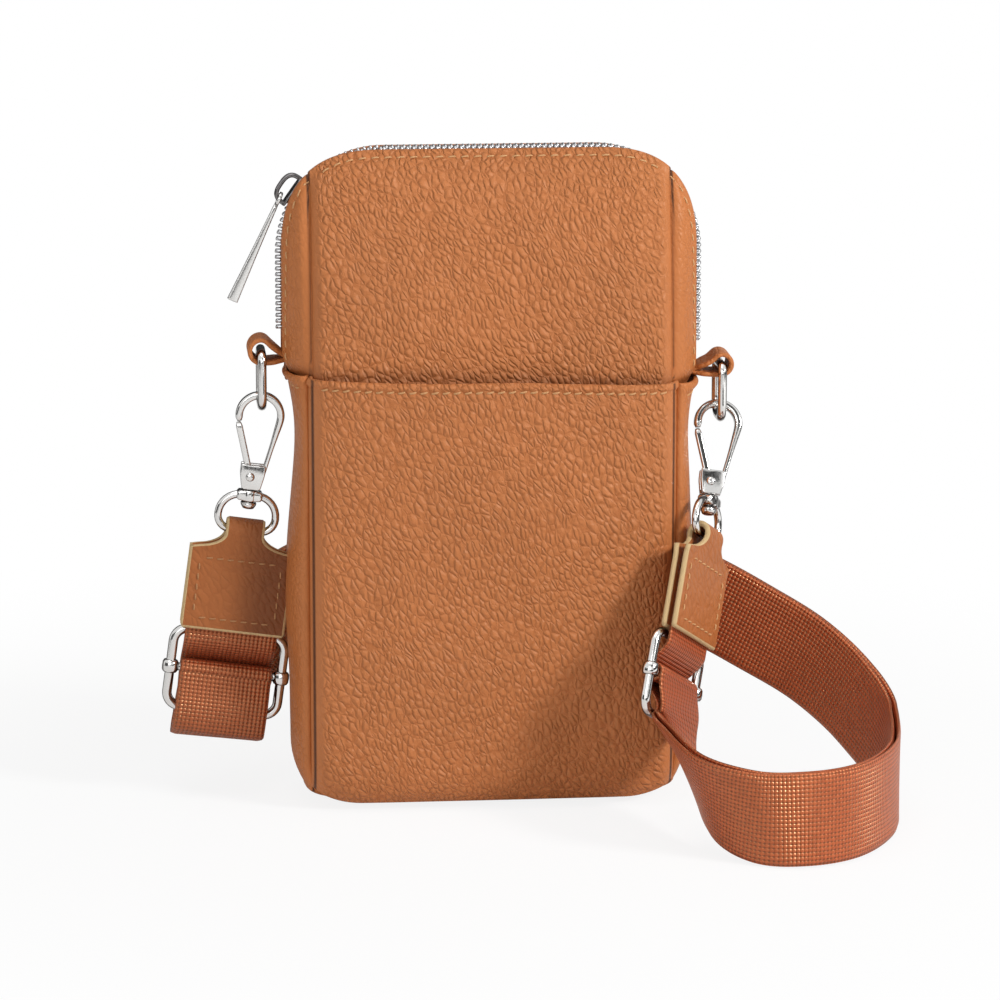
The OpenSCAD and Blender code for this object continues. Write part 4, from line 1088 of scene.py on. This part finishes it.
def sliderParts():
    s = slider
    top, low = cornerR + s["gap"], cornerR - s["under"]
    outline = []
    for a in 2 * math.pi * np.arange(40) / 40:   # two shoulders at the front, a narrower tail
        y = s["width"] / 2 * signedPower(math.sin(a), 0.55) * (s["shoulders"] - s["narrowing"] * math.cos(a))
        outline.append((s["length"] / 2 * signedPower(math.cos(a), 0.6), y))
    pts, faces = bevelled(outline, 0, s["plate"], 0.3)
    plates = [([vec(q[0], q[2], q[1] + z) for q in pts], faces) for z in (top, low - s["plate"])]
    post = sweep([vec(s["postX"], 0, z) for z in np.linspace(low - 0.5, top + 0.5, 4)], vec(1, 0, 0),
                 roundedProfile(s["postL"], s["postW"], 0.3))
    r, z0 = s["bridge"] - s["wire"] / 2, top + s["plate"]
    arch = []
    for a in math.pi * np.arange(25) / 24:
        rise = s["bridgeRise"] * r * max(0, math.sin(a)) ** 0.7
        arch.append(vec(r * signedPower(math.cos(a), 0.7), 0, z0 + rise))
    arch = [arch[0] - vec(0, 0, 0.6)] + arch + [arch[-1] - vec(0, 0, 0.6)]
    return plates + [post, sweep(arch, vec(0, 1, 0), roundedProfile(s["bridgeW"], s["wire"], 0.45))]


# A metal piece from its castings and wires, put in its place
def makeMetal(name, parts, place, node, body="pouch", material=nickel):
    pts, faces = joinParts(parts)
    makePiece(name, place(pts), faces, [material], body=body, slot="plated_metal", nodes=(node,))


cornerCentre = vec(-cornerX, 0, cornerZ)
makeMetal("zipSlider", sliderParts(), lambda p: turned(p, "Y", -slider["rest"]) + cornerCentre, "zip_slider",
          "slider", sliderMetal)

puller = dict(lean=25.0, length=31.8, top=1.2, tip=3.1, thick=1.7, eye=1.5, rim=0.6, eyeW=1.0, neck=(1.1, 1.0),
              hang=20.0, hangIn=0.65)


def pullerParts():
    q = puller
    r = q["eye"] + q["rim"] / 2
    eye = [vec(0, r * math.cos(a), r * math.sin(a)) for a in np.linspace(0, 2 * math.pi, 29)[:-1]]
    ring = sweep(eye, vec(1, 0, 0), roundedProfile(q["eyeW"], q["rim"], 0.3, 3), closed=True)
    start, end = -q["eye"], -q["length"]
    heights = [start - 0.2, *np.linspace(start - 1.2, end + 0.6, 16), end + 0.15, end]
    pts = []
    for h in heights:
        t = (h - start) / (end - start)
        w, th = q["top"] + (q["tip"] - q["top"]) * max(0, t) ** 1.3, q["thick"] * (0.75 + 0.25 * t)
        if h == heights[0]:
            w, th = q["neck"]
        if h == end:
            w, th = w * 0.8, th * 0.6
        pts += [vec(u, v, h) for u, v in roundedProfile(w, th, 0.34, 3)]
    return [ring, (pts, ringFaces(len(heights), len(pts) // len(heights)))]


hangR, hangA = slider["bridge"] - puller["hangIn"], math.radians(puller["hang"])
hangZ = cornerR + slider["gap"] + slider["plate"] + hangR * math.sin(hangA)
hang = cornerCentre + turned(vec(-hangR * math.cos(hangA), 0, hangZ), "Y", -slider["rest"])
makeMetal("zipPuller", pullerParts(), lambda p: turned(p, "Y", puller["lean"]) + hang, "zip_puller", "puller")
print("zip ready")


# Tabs and rings

hardware = dict(leftPivot=vec(-64.6, 0, 130.6), rightPivot=vec(66.2, 0, 125.2), ringWire=2.6, ringH=15.2,
                ringW=13.0, ringTop=0.16, ringLow=0.34, tabW=9.6, tabFoot=0.66, tabDrop={-1: 0.8, 1: 0.4},
                tabPlay={-1: 1.4, 1: 1.0}, leftLean=8.0, rightLean=10.0, rightFore=25.0, rightTurn=56.0)
pivots = {-1: hardware["leftPivot"], 1: hardware["rightPivot"]}


# The loop of a tab, from its foot over the ring and back, as a leaf across the depth
def tabGrid(side):
    px, cz = abs(pivots[side][0]), pivots[side][2] + hardware["tabDrop"][side]
    r = hardware["ringWire"] / 2 + hardware["tabPlay"][side] + thick
    footX = pouch["zipX"] - 1.0
    line = [vec(footX, 0, cz - 1.3), vec(footX + 1.5, 0, cz - 0.6), vec(px - 3.2, 0, cz + r - 2.2),
            vec(px - 1.6, 0, cz + r - 0.5)]
    line += [vec(px + r * math.cos(a), 0, cz + r * math.sin(a)) for a in np.radians(np.linspace(95, -95, 32))]
    line += [vec(px - 2.4, 0, cz - r + 0.05), vec(footX + 1.5, 0, cz - r + 0.5), vec(footX, 0, cz - r + 0.9)]
    g = []
    for p in eased(line, 70, 4):
        share = hardware["tabFoot"] + (1 - hardware["tabFoot"]) * smooth((p[0] - footX - 1) / 3.5)
        half = hardware["tabW"] / 2 * share
        g.append([p * vec(side, 1, 1) + vec(0, y * half, 0) for y in np.linspace(-1, 1, 15)])
    g = np.array(g) if side < 0 else np.array(g)[:, ::-1]
    return g if gridNormals(g)[10, 7][2] > 0 else g[:, ::-1]


for side, name in sides[::-1]:
    makeLeaf(name + "Tab", tabGrid(side), smoothLeather, name + "_tab")


# A rounded wire loop in the plane x = 0, w across Y and h down Z, hung from the origin
def wireLoop(w, h, rTop, rLow, wire):
    corners = [(w / 2 - rTop, -rTop, rTop, 0), (-w / 2 + rTop, -rTop, rTop, 90),
               (-w / 2 + rLow, -h + rLow, rLow, 180), (w / 2 - rLow, -h + rLow, rLow, 270)]
    path = [vec(0, y, z) for y, z in quarterTurns(corners, 8)]
    return sweep(path, vec(1, 0, 0), circleProfile(wire / 2), closed=True)


for side, name in sides[::-1]:
    w = hardware["ringW"]
    loop = wireLoop(w, hardware["ringH"], w * hardware["ringTop"], w * hardware["ringLow"], hardware["ringWire"])
    makeMetal(name + "Ring", [loop], lambda p: np.array(p) + pivots[side], name + "_ring", name + "_ring")


# Snap hooks

hook = dict(r=7.0, wire=2.1, drop=17.6, thick=3.0, baseT=4.4, baseHalf=3.5, taper=0.76, above=3.4, below=3.7,
            nose=-2.0, armTurn=-14, gateX=-0.6, gateW=1.9, gateT=1.7, gateGap=0.5, slot=0.1, rivet=1.6, post=2.9,
            blockH=3.2, headH=2.0, headD=4.6, blockW=7.4, blockD=4.6, eyeW=16.4, eyeWire=2.2, eyeLow=33.6,
            eyeRound=6.0, eyeCorner=4.0, play=0.3)
hookIn = hook["r"] - hook["wire"]
baseTop, baseLow = hook["drop"] - hook["above"], hook["drop"] + hook["below"]
blockTop = baseLow + hook["play"]
blockLow = blockTop + hook["blockH"]
postEnd = blockLow + hook["play"]
wireR = (hook["r"] + hookIn) / 2


def seatZ(fore):
    f = math.radians(fore)
    return hookIn - hardware["ringWire"] / 2 / math.cos(f) - hook["thick"] / 2 * math.tan(f) - hook["play"]


def hookArm():
    noseA = 180 + math.degrees(math.asin(-hook["nose"] / wireR))
    turn = np.radians([*np.linspace(noseA, 0, 40), hook["armTurn"]])
    line = [vec(wireR * math.cos(a), 0, wireR * math.sin(a)) for a in turn]
    start, low = line[-1], vec(hook["baseHalf"] * hook["taper"] - 0.45, 0, -baseLow + 0.4)
    line += [start + (low - start) * t for t in np.linspace(0.06, 1, 16)]
    length = along(np.array(line))[-1]
    d = np.linspace(0, length, 90)
    size = (1 - 0.35 * smooth((1.2 - d) / 1.2)) * (1 - 0.38 * smooth((d - length * 0.45) / (length * 0.3)))
    return sweep(eased(line, 90, 3), vec(0, 1, 0), roundedProfile(hook["thick"], hook["wire"], 0.75), scale=size)


def hookParts():
    h, t, b, taper = hook["baseHalf"], baseTop, baseLow, hook["taper"]
    outline = [(-h, -t + 0.2), (-h * 0.2, -t), (h, -t + 0.1), (h, -t - 0.4 * (b - t)), (h * taper, -b),
               (-h * taper, -b), (-h, -t - 0.4 * (b - t))]
    ring = []
    for p, q in zip(np.array(outline), np.array(outline[1:] + outline[:1])):
        ring += [p * (1 - k) + q * k for k in (0.1, 0.5, 0.9)]
    gap, half = hook["gateT"] / 2 + hook["slot"], hook["baseT"] / 2
    cheeks = [bevelled(ring, gap, half, 0.35), bevelled(ring, -half, -gap, 0.35)]
    web = bevelled([(h * 0.3, -t - 0.6), (h * 0.92, -t - 0.6), (h * 0.74, -b + 0.2), (-h * 0.74, -b + 0.2),
                    (-h * 0.8, -b + 1.2), (h * 0.3, -b + 1.3)], -gap - 0.2, gap + 0.2, 0.05)
    pin, head, end = hook["post"] / 2, hook["headD"] / 2, -postEnd - hook["headH"]
    post = lathe([(pin, -b + 0.3), (pin, -postEnd), (head * 0.9, -postEnd - 0.05), (head, -postEnd - 0.35),
                  (head * 0.96, -postEnd - 0.9), (head * 0.72, end + 0.15), (head * 0.5, end)])
    return [hookArm()] + cheeks + [web, post]


def rivetParts():
    r, d = hook["rivet"] / 2, hook["baseT"] / 2
    half = [(0.1, d + 0.62), (r * 0.8, d + 0.58), (r * 1.4, d + 0.34), (r * 1.6, d + 0.02), (r * 1.6, d - 0.1),
            (r, d - 0.12)]
    pts, faces = lathe(half + [(a, -b) for a, b in reversed(half)])
    return [([vec(p[0] + hook["gateX"], p[2], p[1] - hook["drop"]) for p in pts], faces)]


def gateParts():
    tip, low = vec(-wireR * 0.98, 0, hook["nose"] - hook["gateGap"]), vec(hook["gateX"], 0, -hook["drop"])
    t = np.linspace(0, 1, 24)
    bar = sweep([low + (tip - low) * k for k in t], vec(0, 1, 0),
                roundedProfile(hook["gateT"], hook["gateW"], 0.45), scale=1 - 0.4 * smooth((t - 0.93) / 0.07))
    r, d = hook["gateW"] * 0.8, hook["gateT"] / 2
    pts, faces = lathe([(r * 0.5, -d), (r * 0.9, -d), (r, 0.2 - d), (r, d - 0.2), (r * 0.9, d), (r * 0.5, d)])
    return [bar, ([vec(p[0], p[2], p[1]) + low for p in pts], faces)]


def eyeParts():
    top = blockTop + hook["blockH"] * 0.5
    pts, faces = wireLoop(hook["eyeW"], hook["eyeLow"] - top, hook["eyeRound"], hook["eyeCorner"], hook["eyeWire"])
    loop = (turned(pts, "Z", 90) - vec(0, 0, top), faces)
    w, low, high = hook["blockW"] / 2, -blockLow, -blockTop
    half = [(-w, low + 0.9), (-w + 0.5, low + 0.25), (-w * 0.4, low), (w * 0.4, low), (w - 0.5, low + 0.25),
            (w, low + 0.9)]
    outline = half + [(x, high + low - z) for x, z in reversed(half)]
    r = hook["headD"] / 2 + 0.3
    collar = lathe([(r * 0.7, low), (r * 0.95, low + 0.1), (r, low + 0.5), (r, high - 0.5), (r * 0.95, high - 0.1),
                    (r * 0.7, high)])
    return [loop, bevelled(outline, -hook["blockD"] / 2, hook["blockD"] / 2, 0.7), collar]


# Points of a hook, placed as it hangs in its side's ring
def hung(points, side, extra=0.0):
    fore, lean = (0.0, hardware["leftLean"]) if side < 0 else (hardware["rightFore"], hardware["rightLean"])
    p = turned(points, "Z", extra) - vec(0, 0, seatZ(fore))
    return turned(turned(p, "X", -fore), "Y", lean) + pivots[side] - vec(0, 0, hardware["ringH"])


for side, name in sides[::-1]:
    for kind, parts, body, node in (("Hook", hookParts(), "_hook", "_hook"),
                                    ("Rivet", rivetParts(), "_hook", "_gate_rivet"),
                                    ("Gate", gateParts(), "_gate", "_gate"), ("Eye", eyeParts(), "_eye", "_eye")):
        extra = hardware["rightTurn"] if side > 0 and kind == "Eye" else 0.0
        makeMetal(name + kind, parts, lambda p: hung(p, side, extra), name + node, name + body)
print("hooks ready")


# Strap: leather ends, buckles and the two bands

strap = dict(webW=26.4, webT=1.2, endW=28.5, endL=29.0, plump=0.35, shoulder=4.8, loopOut=112.0,
             loopFront=84.0, loopRise=64.0, loopLie=13.9, frameWire=2.8, frameW=32.0, frameH=23.0,
             frameRound=4.0, barD=2.4, play=0.3, fit=0.1, neckW=9.6, neckPlay=0.95, neckL=8.0, neckLow=0.6,
             sewnIn=(2.6, 0.6, 2.8), selvedge=0.9, wave=0.25, waveL=17.0, perStation=18, shade=0.34,
             shadeX=-52, shadeW=8)
straight = vec(1, 0, 0)


def squareTo(v, w):
    return unit(np.array(v, float) - w * (np.array(v, float) @ w))


leftBar, rightBar = (hung([vec(0, 0, -hook["eyeLow"])], side)[0] for side in (-1, 1))
leftW = turned(straight, "Y", hardware["leftLean"])
rightW = turned(turned(straight, "Z", hardware["rightTurn"]), "X", -hardware["rightFore"])
rightW = turned(rightW, "Y", hardware["rightLean"])
leftL = squareTo((-0.14, 0, -0.99), leftW)
rightL = squareTo((-0.18, -0.35, -0.9), rightW)


# Points given across, through and along the strap, at o with its width along w and its run along l
def inFrame(points, o, w, l):
    return np.asarray(points, float) @ np.stack([w, np.cross(-l, w), -l]) + o


# Middle line of the folded leather in the YZ plane of its frame, front leaf first
def endLine():
    leaf, neck = strap["webT"] / 2 + strap["fit"] + thick / 2, -strap["neckL"]
    r = hook["eyeWire"] / 2 + strap["neckPlay"] + thick / 2
    side = [(-leaf, -strap["endL"]), (-leaf, neck - 0.5), (-leaf - 0.15, neck + 1.2)]
    turn = [vec(0, r * math.cos(a), r * math.sin(a)) for a in np.radians(np.linspace(200, -20, 30))]
    return [vec(0, y, z) for y, z in side] + turn + [vec(0, -y, z) for y, z in reversed(side)]


def endGrid():
    narrow, wide, shoulder = strap["neckW"] / 2, strap["endW"] / 2, strap["shoulder"]
    g = []
    for p in eased(endLine(), 150, 6):
        drop = np.clip((-p[2] - strap["neckLow"]) / shoulder, 0, 1)
        w = narrow if drop == 0 else wide - (wide - narrow) * math.sqrt(1 - drop ** 2)
        g.append([p + straight * x * w for x in np.sin(np.linspace(-math.pi / 2, math.pi / 2, 33))])
    g = np.array(g)
    n = gridNormals(g)
    g = g + n * (thick / 2 + strap["plump"]) * (1 if n[5, 16][1] < 0 else -1)
    return g if gridNormals(g)[5, 16][1] < 0 else g[:, ::-1]


def endStitches():
    leaf = strap["webT"] / 2 + strap["fit"] + thick + strap["plump"]
    inSide, inTop, inLow = strap["sewnIn"]
    w, top, low = strap["endW"] / 2 - inSide, -strap["neckL"] - inTop, -strap["endL"] + inLow
    parts = []
    for y in (-leaf, leaf):
        ring = [vec(-w, y, top), vec(w, y, top), vec(w, y, low), vec(-w, y, low), vec(-w, y, top)]
        for a, b in zip(ring[:-1], ring[1:]):
            line = np.array([a + (b - a) * t for t in np.linspace(0, 1, 20)])
            normals = np.tile(vec(0, math.copysign(1, y), 0), (20, 1))
            parts += stitchRow(line, normals, **sewn["strapEnd"])
    return parts


endG = endGrid()
# Painted shadow of the pouch on the left strap end, darker towards its side next to the pouch
pouchShadow = 0.2 + 0.55 * smooth((endG[:, :, 0] + 4) / 13)
for bar, w, l, name, paintedShade, sewing in ((leftBar, leftW, leftL, "left", pouchShadow, brownThread),
                                      (rightBar, rightW, rightL, "right", None, thread)):
    pts, faces, rim = sewnSheet(endG, thick + strap["plump"], 3)
    makePiece(name + "StrapEnd", inFrame(pts, bar, w, l), faces, [endLeather, rawEdge],
              nodes=(name + "_strap_end",), faceMat=rim, shade=paintedShade)
    pts, faces = joinParts(endStitches())
    makePiece(name + "EndStitching", inFrame(pts, bar, w, l), faces, [sewing])


buckleL = strap["endL"] + strap["frameWire"] / 2 + 2 * strap["play"] + strap["frameH"] / 2
turnL = buckleL + strap["frameH"] / 2 + strap["frameWire"] / 2 + strap["webT"]

# The strap's course: down the right end, round in front, behind the pouch and up to the left end. Each place
# on the loop is in parts of loopOut, loopFront and loopRise, with the direction of the webbing's width.
lie = strap["loopLie"] / strap["loopRise"]
loop = [(0.440, -0.560, 0.350, 0.38, 0.62, -0.68), (0.480, -0.820, 0.265, 0.20, 0.30, -0.93),
        (0.590, -0.965, lie, 0.06, 0.08, -1), (0.720, -1.000, lie, 0, 0, -1), (0.850, -0.920, lie, 0, 0, -1),
        (0.950, -0.730, lie, 0, 0, -1), (1.000, -0.500, lie, 0, 0, -1), (0.995, -0.300, 0.290, -0.04, 0, -1),
        (0.930, -0.130, 0.440, -0.1, 0.03, -1), (0.830, 0.020, 0.580, -0.14, 0.03, -1),
        (0.700, 0.140, 0.700, -0.16, 0, -1), (0.570, 0.230, 0.810, -0.14, 0, -1),
        (0.400, 0.310, 0.930, -0.08, 0, -1), (0.150, 0.330, 1.000, 0, 0, -1), (-0.120, 0.330, 1.000, 0.1, 0, -1),
        (-0.360, 0.330, 0.940, 0.35, 0, -0.94), (-0.540, 0.320, 0.780, 0.65, 0, -0.76),
        (-0.650, 0.260, 0.560, 0.85, 0, -0.52)]
loopScale = vec(strap["loopOut"], strap["loopFront"], strap["loopRise"])
endPlaces = [k * strap["endL"] for k in (0.45, 0.72, 1.0)] + [buckleL, turnL]
backPlaces = [(0.14, 0.115), (0.12, 0.030)]
route = np.array([rightBar + rightL * k for k in endPlaces] + [vec(*p[:3]) * loopScale for p in loop]
                 + [leftBar + leftL * (turnL + down * strap["frameH"]) + vec(0, behind * strap["loopFront"], 0)
                    for down, behind in backPlaces] + [leftBar + leftL * k for k in endPlaces[::-1]])
wideAt = np.array([rightW] * len(endPlaces) + [p[3:] for p in loop] + [leftW] * (len(backPlaces) + len(endPlaces)))


def spline(p, u):
    n = len(p) - 1
    i = min(n - 1, int(u))
    t = u - i
    a, b, c, d = p[max(0, i - 1)], p[i], p[i + 1], p[min(n, i + 2)]
    return 0.5 * (2 * b + (c - a) * t + (2 * a - 5 * b + 4 * c - d) * t * t + (3 * b - 3 * c + d - a) * t ** 3)


perStation = strap["perStation"]
steps = np.arange(0, len(route) - 1 + 1e-6, 1 / perStation)
stations, wides = (np.array([spline(p, u) for u in steps]) for p in (route, wideAt))
last = len(stations) - 1
ahead = units(np.gradient(stations, axis=0))
wides = units(wides - ahead * (wides * ahead).sum(1, keepdims=True))
facing = np.cross(ahead, wides)
rightMid, leftMid = 3 * perStation, last - 3 * perStation
apart = strap["webT"] + strap["play"]
lift = strap["frameWire"] / 2 + 2 * strap["play"] + strap["webT"] / 2
sleeveR = strap["barD"] / 2 + strap["play"] + strap["webT"]
sleeveMid = sleeveR - strap["webT"] / 2
over = lift + sleeveR + strap["play"] + strap["webT"] / 2
under = lift - sleeveR + strap["webT"] / 2 + strap["fit"] + apart
railL = strap["frameH"] / 2 - strap["frameWire"] / 2 - strap["play"]


def ease(s):
    return (1 - math.cos(math.pi * min(1, max(0, s)))) / 2


def nearMid(i, m):
    return 1 - ease(np.linalg.norm(stations[i] - stations[m]) / railL)


def handedOver(i):
    return ease((i / last - 0.25) * 2)


# How far each band stands off the course: over one buckle's bar, and sewn under its own
def offA(i):
    return under * nearMid(i, leftMid) - over * nearMid(i, rightMid) - apart * handedOver(i)


def offB(i):
    return over * nearMid(i, leftMid) - under * nearMid(i, rightMid) + apart * (1 - handedOver(i))


# Flat webbing with soft selvedges: (across, through, u in mm)
def bandProfile(n=20, backU=40):
    half = strap["webW"] / 2
    out = []
    for side, shift, order in ((1, 0, range(n + 1)), (-1, backU, range(n, -1, -1))):
        for k in order:
            x = half * (2 * k / n - 1)
            rim = min(1, (half - abs(x)) / strap["selvedge"])
            out.append((x, side * strap["webT"] / 2 * math.sqrt(max(0.12, 1 - (1 - rim) ** 2)), x + half + shift))
    return out


webProfile = bandProfile()


def bandParts(a, b, off):
    centre = np.array([stations[i] + facing[i] * off(i) for i in range(a, b + 1)])
    s = along(centre)
    pts, uv = [], []
    for k, i in enumerate(range(a, b + 1)):
        wave = strap["wave"] * math.sin(s[k] / strap["waveL"]) * hump(k / (b - a), 0.5, 0.35)
        for x, y, u in webProfile:
            pts.append(centre[k] + wides[i] * x + facing[i] * (y + wave * (x / 13) ** 2))
            uv.append((u, s[k]))
    return pts, uv, ringFaces(b - a + 1, len(webProfile)), s[-1]


# The turn of webbing sewn round a bar
def sleeveParts(o, w, l, n=40):
    pts, uv = [], []
    for a in 2 * math.pi * np.arange(n) / n:
        for x, y, u in webProfile:
            pts.append(vec(x, (sleeveMid + y) * math.cos(a), (sleeveMid + y) * math.sin(a)))
            uv.append((u, a * sleeveMid))
    return inFrame(pts, o, w, l), uv, ringFaces(n, len(webProfile), closed=True)


rightBuckle = rightBar + rightL * buckleL - lift * facing[rightMid]
leftBuckle = leftBar + leftL * buckleL + lift * facing[leftMid]
buckles = ((leftBuckle, leftW, leftL, "left"), (rightBuckle, rightW, rightL, "right"))
for (o, w, l, _), name, node, a, b, off in ((buckles[0], "strapBandA", "strap_band_a", 0, leftMid, offA),
                                            (buckles[1], "strapBandB", "strap_band_b", rightMid, last, offB)):
    pts, uv, faces, length = bandParts(a, b, off)
    sleevePts, sleeveUv, sleeveFaces = sleeveParts(o, w, l)
    pts, faces = joinParts([(pts, faces), (sleevePts, sleeveFaces)])
    # Painted shade over the band's left end, beside and behind the pouch
    paintedShade = strap["shade"] * smooth((strap["shadeX"] - np.array(pts)[:, 0]) / strap["shadeW"])
    obj = makePiece(name, pts, faces, [webbing], slot="webbing", nodes=(node,), uv=uv + sleeveUv, shade=paintedShade)


def buckleParts():
    r = strap["frameRound"]
    pts, faces = wireLoop(strap["frameW"], strap["frameH"], r, r, strap["frameWire"])
    return [(turned(pts, "Z", 90) + vec(0, 0, strap["frameH"] / 2), faces)]


# A bar with a knob round the frame's wire at both ends
def barParts():
    half, r = strap["frameW"] / 2, strap["frameWire"] / 2
    path = [straight * x for x in np.linspace(-half + 1, half - 1, 8)]
    bar = sweep(path, vec(0, 0, 1), circleProfile(strap["barD"] / 2))
    rise = [(0.1, 1.9), (0.55, 1.75), (0.9, 1.2)]
    pts, faces = lathe([(r + d, -h) for d, h in rise] + [(r + 1, 0)] + [(r + d, h) for d, h in reversed(rise)])
    return [bar] + [(np.array(pts) + straight * s * half, faces) for s in (-1, 1)]


for o, w, l, name in buckles:
    for label, node, parts in (("BuckleFrame", "_buckle_frame", buckleParts()),
                               ("BuckleBar", "_buckle_bar", barParts())):
        makeMetal(name + label, parts, lambda p: inFrame(p, o, w, l), name + node)
print("strap ready")
